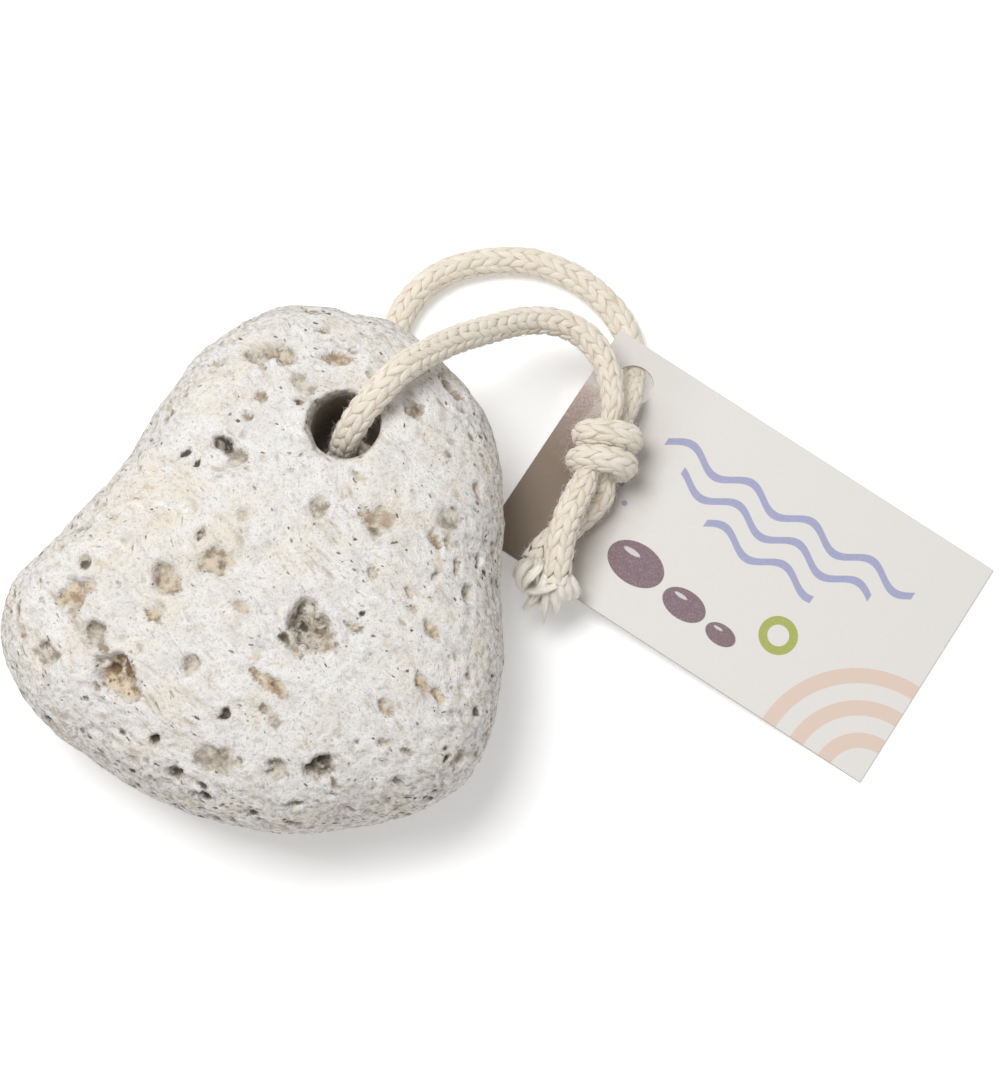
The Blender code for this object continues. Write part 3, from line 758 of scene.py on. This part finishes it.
# Pits of the top face: place on the plan, length, width, turn in degrees, depth, and how ochre and
# how dark its floor is, from 0 to 1.
PITS = [
    (-4.0, 15.2, 4.8, 3.0, -48, 2.6, 0.3, 1.0), (-1.6, 12.8, 4.6, 3.4, -40, 1.0, 0.3, 0.25),
    (-10.3, 14.0, 3.0, 1.6, 25, 0.9, 0.1, 1.0), (-8.3, 12.1, 1.8, 1.3, 0, 0.6, 0.1, 1.0),
    (1.0, 31.7, 6.0, 4.6, -10, 1.2, 0.3, 0.15),
    (5.6, 31.4, 4.6, 4.2, 0, 1.6, 0.7, 0.4), (11.4, 36.4, 2.9, 1.6, 10, 0.9, 0.4, 0.6),
    (14.2, 30.7, 6.4, 2.8, 0, 0.9, 0.8, 0.1), (8.3, 26.0, 4.7, 3.2, 80, 0.9, 0.5, 0.1),
    (8.1, 22.6, 1.5, 1.3, 0, 0.8, 0.2, 0.7), (8.6, 13.4, 1.3, 0.9, 80, 0.6, 0.3, 0.7),
    (26.7, 22.1, 5.0, 3.8, 100, 1.0, 0.5, 0.25), (32.9, 27.2, 5.2, 3.8, -40, 1.2, 0.7, 0.2),
    (21.3, 2.4, 7.2, 5.4, -10, 0.6, 0.9, 0.0), (11.6, 4.2, 4.4, 3.4, 80, 1.0, 0.2, 0.1),
    (32.6, 3.6, 5.8, 4.6, 0, 0.5, 0.3, 0.0), (-28.0, -9.3, 8.2, 5.4, 10, 1.2, 0.95, 0.08),
    (-12.3, -7.8, 7.0, 4.6, -38, 1.4, 0.8, 0.18), (-24.1, -15.6, 5.4, 4.8, 0, 1.7, 0.35, 0.32),
    (-32.5, -18.4, 5.8, 4.4, -30, 1.2, 0.4, 0.2), (-20.0, -23.1, 10.0, 6.8, -45, 2.2, 1.0, 0.62),
    (-8.8, -21.5, 4.4, 3.2, 70, 1.1, 0.2, 0.1), (-3.2, -29.0, 2.7, 2.1, 60, 1.2, 0.2, 0.9),
    (-14.7, -32.7, 3.2, 2.1, 80, 1.1, 0.7, 0.8), (-11.4, -37.2, 3.5, 3.0, -30, 1.4, 0.7, 0.75),
    (-4.6, -36.0, 9.0, 6.4, -20, 0.6, 0.55, 0.05), (-7.2, -40.4, 4.2, 1.6, -20, 1.4, 0.4, 0.9),
    (10.4, -15.3, 8.8, 6.8, -55, 2.7, 0.15, 0.62), (12.9, -17.8, 7.0, 3.6, -50, 0.7, 0.7, 0.0),
    (4.4, -24.6, 10.8, 2.7, -34, 0.7, 1.0, 0.0), (29.8, -15.2, 4.9, 2.2, -50, 0.8, 1.0, 0.1),
    (28.2, -23.9, 4.9, 2.4, -60, 0.9, 1.0, 0.15), (5.3, -37.3, 5.0, 4.0, 80, 1.0, 0.45, 0.38),
    (11.9, -37.0, 6.4, 4.6, 40, 1.9, 0.3, 0.62), (7.4, -42.1, 3.6, 2.3, 0, 1.3, 0.8, 0.8),
    (35.3, -8.2, 4.0, 2.3, 80, 1.2, 0.3, 0.3), (32.0, -34.5, 1.3, 1.1, 0, 0.8, 0.1, 0.9),
    (34.0, -34.4, 4.4, 2.9, 70, 0.8, 0.2, 0.15), (-4.7, -4.8, 6.2, 5.6, 20, 0.5, 0.7, 0.0),
    (-0.4, -12.3, 5.6, 2.0, -32, 0.6, 1.0, 0.0), (33.5, -4.0, 3.2, 1.5, 70, 0.7, 0.4, 0.4),
    (22.5, -28.0, 4.4, 2.0, -40, 0.6, 1.0, 0.0), (37.0, -2.0, 2.6, 1.6, 80, 0.8, 0.3, 0.6),
    (18.6, -12.8, 1.6, 1.0, 60, 0.6, 0.2, 0.8), (30.0, -6.0, 2.0, 1.5, 40, 0.7, 0.3, 0.5),
    (-0.6, 3.2, 2.3, 2.0, 0, 0.8, 0.2, 0.3), (-7.3, -0.1, 3.4, 1.6, 60, 0.8, 0.5, 0.6),
]
# The same round the sides and underneath, placed by azimuth and elevation from the middle.
SIDE_PITS = [
    (20, -6, 5.0, 3.5, 30, 1.8, 0.6, 0.4), (100, -10, 4.0, 3.0, 0, 1.6, 0.4, 0.5),
    (125, -4, 6.0, 4.0, 20, 2.0, 0.7, 0.4), (205, -20, 5.0, 4.0, 10, 1.8, 0.5, 0.5),
    (250, -12, 4.5, 3.0, 0, 1.6, 0.5, 0.6), (285, -22, 6.0, 4.0, 40, 2.2, 0.8, 0.5),
    (330, -12, 5.0, 3.5, -20, 1.8, 0.5, 0.4), (110, -42, 7.0, 5.0, 30, 2.4, 0.8, 0.6),
    (165, -38, 5.0, 3.4, 15, 1.8, 0.5, 0.4), (225, -40, 6.0, 4.4, 60, 2.2, 0.7, 0.6),
    (300, -40, 5.0, 4.0, 0, 2.0, 0.4, 0.5), (25, -44, 5.5, 4.0, 45, 2.0, 0.6, 0.4),
]
# Cream stains of iron in the top face: place, radius and strength.
STAINS = [
    (-15.5, 6.0, 11.0, 1.0), (-5.1, -2.2, 7.0, 0.8), (-22.0, -2.0, 8.0, 0.7), (-14.0, -11.0, 7.0, 0.5),
    (-12.0, -30.0, 8.0, 0.5), (12.0, -2.0, 6.0, 0.4), (22.0, 3.0, 7.0, 0.5), (-4.0, 27.0, 6.0, 0.5),
]
PIT_EDGE = 1.1
PIT_WANDER = 0.24
PIT_RAG = 0.35
PIT_EDGE_SEED = 3
RUN_OUT = Vector((0.6, -0.8, 0.0))
STRAY_PITS = 130
STRAY_LENGTH = (1.8, 4.2)
STRAY_DEPTH = (0.4, 0.9)
STRAY_TURN = (-80, -20)
BUBBLE_COUNT = 3000
BUBBLE_RADIUS = (0.4, 1.4)
BUBBLE_DEPTH = 0.5
BUBBLE_SEED = 23
STREAK = Vector((0.74, -0.67, 0.0))
ACROSS_STREAK = Vector((0.67, 0.74, 0.0))
SWELLS = ((6.0, 0.26), (2.6, 0.13), (1.25, 0.10))
GROOVE_DEPTH = 0.14


def read_points(mesh, what):
    values = np.empty(len(mesh.vertices) * 3)
    mesh.vertices.foreach_get(what, values)
    return values.reshape(-1, 3)


bare = read_points(worked, "co")
facing = read_points(worked, "normal")
sunk, pit, ochre, dark, warm = np.zeros((5, len(bare)))
near = kdtree.KDTree(len(bare))
for index, place in enumerate(bare):
    near.insert(place, index)
near.balance()
noise.seed_set(PIT_EDGE_SEED)


def cut_pit(place, outward, length, width, turn_degrees, depth, tan, black, seed):
    """Sinks one broken-edged pit, steep and painted with shade at its upper end and running out; stains its
    floor.
    """
    turn = math.radians(turn_degrees)
    across = Vector((math.cos(turn), math.sin(turn), 0))
    across = (across - outward * across.dot(outward)).normalized()
    other = outward.cross(across)
    for point, index, _ in near.find_range(place, 0.75 * length * MM):
        if Vector(facing[index]).dot(outward) < 0.35:
            continue
        off = (point - place) / MM
        wander = noise.noise_vector(off * 0.55 + Vector((seed, 0, 0)))
        fine_wander = noise.noise_vector(off * 1.5 + Vector((0, seed, 0)))
        off = off + wander * PIT_WANDER * width + fine_wander * PIT_RAG
        share = math.hypot(off.dot(across) / (length / 2), off.dot(other) / (width / 2))
        if share > PIT_EDGE:
            continue
        runs_out = held(0.5 + off.dot(RUN_OUT) / length)
        wall = held((PIT_EDGE - share) / (0.34 + 0.5 * runs_out))
        wall = wall * wall * (3 - 2 * wall)
        floor_rise = noise.noise(off * 0.9 + Vector((0, 0, seed))) * 0.5
        floor_rise += noise.noise(off * 2.2 + Vector((0, seed, seed))) * 0.3
        sunk[index] = max(sunk[index], depth * wall * (1.25 - 0.5 * runs_out + floor_rise) * MM)
        pit[index] = max(pit[index], wall)
        ochre[index] = max(ochre[index], tan * wall)
        # Darkest at the pit's steep upper end: painted shade of that wall, over the floor's own dark glass.
        shaded = min(1.5 * (1 - runs_out) + 2 * max(black - 0.6, 0), 1.1)
        dark[index] = max(dark[index], black * wall * shaded)


for seed, (x, y, *sizes) in enumerate(PITS):
    _, place, outward, _ = stone.ray_cast(Vector((x, y, 100)) * MM, Vector((0, 0, -1)))
    cut_pit(place, outward, *sizes, seed * 3.7)
middle = Vector((0, 0, STONE_WIDEST_AT)) * MM
for seed, (azimuth, elevation, *sizes) in enumerate(SIDE_PITS, len(PITS)):
    azimuth, elevation = math.radians(azimuth), math.radians(elevation)
    level = math.cos(elevation)
    outward = Vector((level * math.cos(azimuth), level * math.sin(azimuth), math.sin(elevation)))
    _, place, outward, _ = stone.ray_cast(middle + outward * 0.1, -outward)
    cut_pit(place, outward, *sizes, seed * 3.7)

pit_random = np.random.default_rng(BUBBLE_SEED)
for seed, index in enumerate(pit_random.choice(len(bare), STRAY_PITS, replace=False)):
    length = pit_random.uniform(*STRAY_LENGTH)
    cut_pit(
        Vector(bare[index]),
        Vector(facing[index]),
        length,
        length * pit_random.uniform(0.35, 0.75),
        pit_random.uniform(*STRAY_TURN),
        pit_random.uniform(*STRAY_DEPTH),
        pit_random.random(),
        pit_random.random() ** 3 * 0.7,
        seed * 5.3,
    )
slope_share = 0.25 + 2.0 * (1 - np.clip(facing[:, 2], 0, 1))
chosen = pit_random.choice(len(bare), BUBBLE_COUNT, replace=False, p=slope_share / slope_share.sum())
bubble_radius = between(BUBBLE_RADIUS, pit_random.random(BUBBLE_COUNT) ** 3)
blackened = pit_random.random(BUBBLE_COUNT) < 0.08 + 0.35 * (1 - np.clip(facing[chosen, 2], 0, 1))
bubble_black = np.where(blackened, pit_random.uniform(0.45, 1.1, BUBBLE_COUNT), 0.0)
bubble_tan = pit_random.random(BUBBLE_COUNT) ** 2
on_top = facing[chosen, 2] > 0.75
bubble_black *= np.where(on_top, np.clip(1.35 - bubble_radius, 0.2, 0.9), 1)
for chosen_index, radius, black, tan in zip(chosen, bubble_radius, bubble_black, bubble_tan):
    place = Vector(bare[chosen_index])
    outward = Vector(facing[chosen_index])
    for point, index, _ in near.find_range(place, radius * 1.5 * MM):
        off = (point - place) / MM
        along_streak = off.dot(STREAK)
        apart = math.sqrt(max(off.length_squared - 0.55 * along_streak**2, 0))
        wall = held(1 - apart / radius)
        sunk[index] += BUBBLE_DEPTH * radius * wall * MM
        dark[index] = max(dark[index], black * min(wall * 1.6, 1))
        ochre[index] = max(ochre[index], tan * wall)
        pit[index] = max(pit[index], wall * 0.5)

for index, place in enumerate(bare):
    spot = Vector(place) / MM
    drawn = Vector((spot.dot(STREAK) * 0.28, spot.dot(ACROSS_STREAK) * 0.9, spot.z * 0.6))
    swell = sum(noise.noise(spot / size) * height for size, height in SWELLS)
    groove = noise.noise(drawn * 1.1 + Vector((9, 0, 0))) * GROOVE_DEPTH
    sunk[index] += (0.12 + swell + groove) * MM

for x, y, radius, share in STAINS:
    apart = np.hypot(bare[:, 0] / MM - x, bare[:, 1] / MM - y) / radius
    warm = np.maximum(warm, share * np.clip(1.5 - 1.5 * apart, 0, 1) * (facing[:, 2] > -0.2))
# How deep each point lies in the drilled hole: there the pits fade out, and the walls are painted darker as
# painted shade.
bore_away = np.hypot(bare[:, 0] / MM - HOLE_CENTRE[0], bare[:, 1] / MM - HOLE_CENTRE[1])
bore_depth = np.clip((top - 0.8 - bare[:, 2] / MM) / 4, 0, 1) * (bore_away < HOLE_RADIUS + 1.0)
sunk *= 1 - 0.7 * bore_depth
pit *= 1 - bore_depth
dark *= 1 - bore_depth
carved = bare - facing * sunk[:, None]
carved[:, 2] = np.maximum(carved[:, 2], 0.0)
worked.vertices.foreach_set("co", carved.ravel())
worked.polygons.foreach_set("use_smooth", [True] * len(worked.polygons))
worked.update()
for name, values in (("pit", pit), ("ochre", ochre), ("dark", dark), ("bore", bore_depth), ("warm", warm)):
    set_values(stone, name, values)


def noise_of(tree, place, size, detail=3.0, rough=0.55, warp=0.0):
    """Cloudy noise whose blotches are about size millimetres across."""
    inputs = {"Vector": place, "Scale": 1.0 / (size * MM), "Detail": detail}
    inputs.update({"Roughness": rough, "Distortion": warp})
    return put(tree, "ShaderNodeTexNoise", inputs).outputs["Fac"]


def layered(tree, colour, layers):
    """Lays colours over the first one, each on its own share of the surface."""
    for share, tint in layers:
        colour = blend(tree, share, colour, tint)
    return colour


pumice, tree, shader = new_material("pumice", 0.95)
stone_place = put(tree, "ShaderNodeTexCoord").outputs["Object"]


def wandering(place, size, amount):
    """A place in the stone moved by a drift up to amount metres, which turns in size millimetres."""
    inputs = {"Vector": stone_place, "Scale": 1.0 / (size * MM), "Detail": 2.0}
    drift = put(tree, "ShaderNodeTexNoise", inputs).outputs["Color"]
    return vector_calc(tree, "ADD", place, vector_calc(tree, "MULTIPLY", drift, (amount,) * 3))


turned = put(
    tree,
    "ShaderNodeMapping",
    {"Vector": wandering(stone_place, 16, 0.014), "Rotation": (0.15, 0.1, math.radians(48))},
).outputs["Vector"]
drawn = put(tree, "ShaderNodeMapping", {"Vector": turned, "Scale": (0.26, 1.0, 0.8)}).outputs["Vector"]
stone_normal = put(tree, "ShaderNodeNewGeometry").outputs["Normal"]
facing_up = put(tree, "ShaderNodeSeparateXYZ", {0: stone_normal}).outputs[2]
# The sides get less light, so their grain is painted darker as painted shade; their extra dark specks are
# partly their small pits, partly painted shade.
on_side = spread_out(tree, facing_up, 0.92, 0.42)
cloud = noise_of(tree, stone_place, 4.0, 5.0, 0.62)
grain = noise_of(tree, stone_place, 0.9, 3.0, 0.6)
fine_grain = noise_of(tree, stone_place, 0.35, 2.0, 0.5)
veins = noise_of(tree, drawn, 1.3, 3.0, 0.55, 0.4)
ochre_veins = noise_of(tree, drawn, 2.2, 4.0, 0.6, 0.2)
cream = noise_of(tree, stone_place, 7.0, 4.0, 0.6, 0.2)
stains = spread_out(tree, noise_of(tree, stone_place, 3.0, 4.0, 0.6, 0.6), 0.40, 0.62, 0.15, 0.95)
pale = blend(tree, spread_out(tree, cloud, 0.38, 0.58), (0.755, 0.735, 0.705), (0.835, 0.825, 0.805))
stone_colour = layered(tree, pale, (
    (spread_out(tree, cream, 0.49, 0.63, 0.0, 0.52), (0.82, 0.76, 0.65)),
    (times(tree, value_of(tree, "warm"), stains), (0.80, 0.725, 0.59)),
    (spread_out(tree, veins, 0.56, 0.70, 0.0, 0.55), (0.56, 0.49, 0.40)),
    (spread_out(tree, veins, 0.28, 0.44, 0.8, 0.0), (0.90, 0.89, 0.875)),
    (spread_out(tree, ochre_veins, 0.605, 0.72, 0.0, 0.75), (0.68, 0.57, 0.42)),
    (spread_out(tree, grain, 0.30, 0.48, 0.50, 0.0), (0.50, 0.445, 0.38)),
    # Painted shade: darker grain on the sides.
    (times(tree, on_side, spread_out(tree, grain, 0.36, 0.60, 0.70, 0.05)), (0.42, 0.37, 0.31)),
    (spread_out(tree, fine_grain, 0.34, 0.47, 0.32, 0.0), (0.40, 0.36, 0.31)),
))

ochre_of = value_of(tree, "ochre")
crystals = noise_of(tree, stone_place, 1.9, 3.0, 0.6)
glassy = blend(tree, spread_out(tree, crystals, 0.36, 0.62), (0.29, 0.24, 0.18), (0.65, 0.595, 0.505))
ochre_floor = blend(tree, spread_out(tree, crystals, 0.36, 0.60), (0.33, 0.215, 0.115), (0.70, 0.585, 0.415))
floor_colour = blend(tree, spread_out(tree, ochre_of, 0.35, 1.1), glassy, ochre_floor)
ragged = calc(tree, "ADD", value_of(tree, "pit"), spread_out(tree, grain, 0.3, 0.7, -0.35, 0.35))
stained = times(tree, spread_out(tree, ragged, 0.2, 0.85), spread_out(tree, cloud, 0.3, 0.6, 0.68, 0.97))
black_patches = spread_out(tree, noise_of(tree, stone_place, 2.0, 2.0, 0.5), 0.38, 0.62, -0.5, 0.22)
black_spots = calc(tree, "ADD", value_of(tree, "dark"), black_patches)
black_colour = blend(tree, spread_out(tree, ochre_of, 0.6, 1.0), (0.052, 0.038, 0.025), (0.17, 0.10, 0.05))
in_pits = ((stained, floor_colour), (spread_out(tree, black_spots, 0.2, 0.9, 0.0, 0.9), black_colour))
stone_colour = layered(tree, stone_colour, in_pits)


def specks(spacing, size, share, turned_by, narrow, softness):
    """Mask of dark mineral specks at about a spacing, in millimetres, on a share of the places."""
    moved = wandering(turned, 0.5, 0.0004)
    flat = put(
        tree,
        "ShaderNodeMapping",
        {"Vector": moved, "Rotation": (0.0, 0.0, turned_by), "Scale": (narrow, 1.0, 1.0)},
    )
    cells = put(
        tree,
        "ShaderNodeTexVoronoi",
        {"Vector": flat.outputs["Vector"], "Scale": 1.0 / (spacing * MM), "Randomness": 1.0},
    )
    lot = put(tree, "ShaderNodeSeparateColor", {"Color": cells.outputs["Color"]})
    limit = spread_out(tree, lot.outputs[0], 1 - share, 1.0, 0.0, size / spacing)
    edge = calc(tree, "SUBTRACT", limit, cells.outputs["Distance"])
    mask = spread_out(tree, edge, -softness / 2, softness)
    return times(tree, mask, spread_out(tree, lot.outputs[1], 0.0, 1.0, 0.35, 1.0))


dents = specks(2.0, 0.55, 0.8, -0.1, 0.36, 0.3)
big_specks = specks(2.3, 0.32, 0.45, 0.2, 0.6, 0.1)
small_specks = specks(1.1, 0.27, 0.75, 0.4, 0.5, 0.07)
dust_specks = specks(0.65, 0.16, 0.7, 2.1, 0.7, 0.1)
# More dark specks on the sides: partly their small pits, partly painted shade.
side_specks = times(tree, on_side, specks(1.4, 0.52, 0.85, 0.9, 0.7, 0.12))
stone_colour = layered(tree, stone_colour, (
    (times(tree, dents, 0.85), (0.46, 0.37, 0.27)),
    (times(tree, dust_specks, 0.62), (0.26, 0.19, 0.125)),
    (times(tree, small_specks, 0.92), (0.12, 0.083, 0.050)),
    (times(tree, side_specks, 0.92), (0.14, 0.10, 0.062)),
    (times(tree, big_specks, 0.97), (0.040, 0.027, 0.017)),
    # Painted shade: the walls deep in the drilled hole are painted darker.
    (times(tree, value_of(tree, "bore"), 0.88), (0.27, 0.22, 0.165)),
))
rough_height = calc(tree, "ADD", times(tree, veins, -0.9), times(tree, grain, 0.7))
for marks in (dents, big_specks):
    rough_height = calc(tree, "ADD", rough_height, times(tree, marks, -0.5))
finish_surface(tree, shader, stone_colour, rough_height, 1.0, 0.4 * MM)
worked.materials.clear()
worked.materials.append(pumice)
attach(stone, "root")
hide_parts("stone")

# Tag. A pale uncoated card with a punched hole, threaded on the cord's back strand and printed with
# ripples, pebbles, dots, a ring and arcs. The card is the CAD's own: only its print, its paper and a
# painted shadow over its hidden end are made here, from distances along and across it in millimetres.
TAG_CORNER = (0.0608, 0.0447)
TAG_TURN = math.radians(-32.7)
TAG_SIZE = (75.0, 43.5)
EDGE_SOFTNESS = 0.06
PLUM = (0.175, 0.095, 0.125)
LAVENDER = (0.32, 0.335, 0.55)
OLIVE = (0.36, 0.41, 0.045)
PEACH = (0.74, 0.56, 0.45)
ROSE = (0.50, 0.31, 0.29)

# Each ripple's place across the card, and where along it the line starts and ends.
RIPPLES = ((11.5, 17.0, 66.0), (16.0, 22.0, 60.0), (20.5, 30.0, 52.0))
RIPPLE_HEIGHT = 1.3
RIPPLE_LENGTH = 12.0
RIPPLE_LINE = 1.4
# Each pebble's place along and across the card, half its length and half its width.
PEBBLES = ((24.0, 33.0, 5.2, 3.6), (34.5, 34.4, 4.0, 2.6), (42.3, 35.3, 2.8, 1.8))
RING_PLACE = (50.5, 30.0)
RING_RADIUS = 2.6
RING_HALF_LINE = 0.75
ARC_RADII = (7.0, 12.5, 18.0)
ARC_HALF_LINE = 1.3
DOTS = ((12.5, 20.0), (14.5, 22.6), (12.0, 25.0), (16.8, 25.2), (10.8, 29.4), (14.6, 38.4))
DOT_RADIUS = 0.5

card, tree, shader = new_material("printed_card", 0.6)
card_place = put(tree, "ShaderNodeTexCoord").outputs["Object"]
off_corner = vector_calc(tree, "SUBTRACT", card_place, (*TAG_CORNER, 0.0))


def distance_along(direction):
    """Millimetres from the card's corner in a direction on the plan."""
    dot = put(tree, "ShaderNodeVectorMath", {0: off_corner, 1: (*direction, 0.0)}, operation="DOT_PRODUCT")
    return times(tree, dot.outputs["Value"], 1 / MM)


tag_u = distance_along((math.cos(TAG_TURN), math.sin(TAG_TURN)))
tag_v = distance_along((math.sin(TAG_TURN), -math.cos(TAG_TURN)))


def inside(distance, limit):
    """1 where a distance is under its limit, with a printed edge's softness."""
    return spread_out(tree, calc(tree, "SUBTRACT", limit, distance), -EDGE_SOFTNESS, EDGE_SOFTNESS)


def length_of(u, v):
    return calc(tree, "SQRT", calc(tree, "ADD", times(tree, u, u), times(tree, v, v)))


def from_place(u, v):
    """How far along and across the card a place lies from the one given."""
    return calc(tree, "SUBTRACT", tag_u, u), calc(tree, "SUBTRACT", tag_v, v)


def oval(u, v, half_long, half_wide):
    """Mask of an oval of ink."""
    along, across = from_place(u, v)
    away = length_of(calc(tree, "DIVIDE", along, half_long), calc(tree, "DIVIDE", across, half_wide))
    return spread_out(tree, away, 1 + EDGE_SOFTNESS / half_wide, 1 - EDGE_SOFTNESS / half_wide)


def circle(place, radius, half_line):
    """Mask of a round line of ink."""
    away = calc(tree, "SUBTRACT", length_of(*from_place(*place)), radius)
    return inside(calc(tree, "ABSOLUTE", away), half_line)


def ripple(v, first, last):
    """Mask of one wavy line of ink along the card."""
    wave = calc(tree, "SINE", times(tree, tag_u, 2 * math.pi / RIPPLE_LENGTH))
    height = calc(tree, "ADD", times(tree, wave, RIPPLE_HEIGHT), v)
    line = inside(calc(tree, "ABSOLUTE", calc(tree, "SUBTRACT", tag_v, height)), RIPPLE_LINE / 2)
    start = spread_out(tree, tag_u, first - 0.1, first + 0.1)
    end = spread_out(tree, tag_u, last + 0.1, last - 0.1)
    return times(tree, line, times(tree, start, end))


ink = spread_out(tree, noise_of(tree, card_place, 0.30, 2.0, 0.6), 0.32, 0.55, 0.87, 1.0)


def inked(mask, strength):
    """The share of a printed mask that its ink covers, on the paper's grain."""
    return times(tree, mask, times(tree, ink, strength))


prints = [(inked(ripple(*row), 0.9), LAVENDER) for row in RIPPLES]
for u, v, half_long, half_wide in PEBBLES:
    glint = oval(u - 0.32 * half_long, v - 0.40 * half_wide, 0.30 * half_long, 0.13 * half_wide)
    no_glint = calc(tree, "SUBTRACT", 1.0, times(tree, glint, 0.8))
    prints.append((inked(times(tree, oval(u, v, half_long, half_wide), no_glint), 0.93), PLUM))
prints.append((inked(circle(RING_PLACE, RING_RADIUS, RING_HALF_LINE), 0.93), OLIVE))
prints += [(inked(circle(TAG_SIZE, radius, ARC_HALF_LINE), 0.85), PEACH) for radius in ARC_RADII]

# A worn rose print along the hidden end, and small dots beside it.
rose_fade = calc(tree, "SUBTRACT", noise_of(tree, card_place, 1.8, 4.0, 0.65), times(tree, tag_u, 0.03))
rose_patch = times(tree, spread_out(tree, rose_fade, 0.30, 0.40), spread_out(tree, tag_v, 9.0, 13.0))
rose_patch = times(tree, rose_patch, spread_out(tree, tag_v, 30.0, 14.0))
rose_grain = spread_out(tree, noise_of(tree, card_place, 0.4, 2.0, 0.6), 0.35, 0.65, 0.35, 0.75)
prints.append((times(tree, rose_patch, rose_grain), ROSE))
prints += [(times(tree, oval(u, v, DOT_RADIUS, DOT_RADIUS), 0.8), LAVENDER) for u, v in DOTS]

# The paper under the prints, a painted shadow of the stone over the card's end, and the darker cut edge.
paper_grain = noise_of(tree, card_place, 0.35, 4.0, 0.6)
paper = blend(tree, paper_grain, (0.745, 0.722, 0.682), (0.80, 0.78, 0.745))
card_colour = layered(tree, paper, prints)
# Painted shadow: the stone and the cord shade the card's end beside them, so it is painted darker, most
# towards its lower edge.
shadow_edge_on_card = calc(tree, "ADD", tag_u, times(tree, noise_of(tree, card_place, 2.5, 3.0, 0.6), 3.0))
painted_shadow_on_card = times(tree, spread_out(tree, shadow_edge_on_card, 25.0, 7.0), 0.95)
painted_shadow_on_card = times(tree, painted_shadow_on_card, spread_out(tree, tag_v, 4.0, 27.0, 0.12, 1.0))
card_colour = blend(tree, painted_shadow_on_card, card_colour, (0.26, 0.195, 0.14), "MULTIPLY")
card_normal = put(tree, "ShaderNodeNewGeometry").outputs["Normal"]
lying = calc(tree, "ABSOLUTE", put(tree, "ShaderNodeSeparateXYZ", {0: card_normal}).outputs[2])
card_colour = blend(tree, spread_out(tree, lying, 0.7, 0.5), card_colour, (0.40, 0.37, 0.30))
finish_surface(tree, shader, card_colour, paper_grain, 0.25, 0.1 * MM)
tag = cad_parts["tag"]
tag.data.materials.clear()
tag.data.materials.append(card)

# Floor. A plain white sheet of matt paper under everything, as in a photo studio. It is lit a little
# from within, so that it stays white where the light falls off.
FLOOR_HALF = 1.6
FLOOR_CORNERS = ((-1, -1), (1, -1), (1, 1), (-1, 1))
FLOOR_WHITE = 0.96
FLOOR_GLOW = 0.19

floor_points = [(x * FLOOR_HALF, y * FLOOR_HALF, 0) for x, y in FLOOR_CORNERS]
floor = new_piece("floor", floor_points, [(0, 1, 2, 3)], smooth=False)
white_sheet, tree, shader = new_material("white_sheet", 0.9)
shader.inputs["Base Color"].default_value = (FLOOR_WHITE, FLOOR_WHITE, FLOOR_WHITE, 1.0)
shader.inputs["Emission Color"].default_value = (1.0, 1.0, 1.0, 1.0)
shader.inputs["Emission Strength"].default_value = FLOOR_GLOW
floor.data.materials.append(white_sheet)

# Light. One large soft light to the upper left, half a metre across, and an even white surround that
# fills the shadows, as in the photo.
KEY_PLACE = Vector((-0.26, 0.16, 1.04))
KEY_SIZE = 0.5
KEY_POWER = 8.25
SURROUND = 0.43

key = bpy.data.lights.new("key", "AREA")
key.size = KEY_SIZE
key.energy = KEY_POWER
key_light = set_in_scene("key", key)
key_light.location = KEY_PLACE
key_light.rotation_euler = (-KEY_PLACE).to_track_quat("-Z", "Y").to_euler()
surround = bpy.data.worlds.new("surround")
surround.use_nodes = True
white_all_round = surround.node_tree.nodes["Background"]
white_all_round.inputs["Color"].default_value = (1.0, 1.0, 1.0, 1.0)
white_all_round.inputs["Strength"].default_value = SURROUND
bpy.context.scene.world = surround
bpy.context.scene.view_settings.view_transform = "Standard"
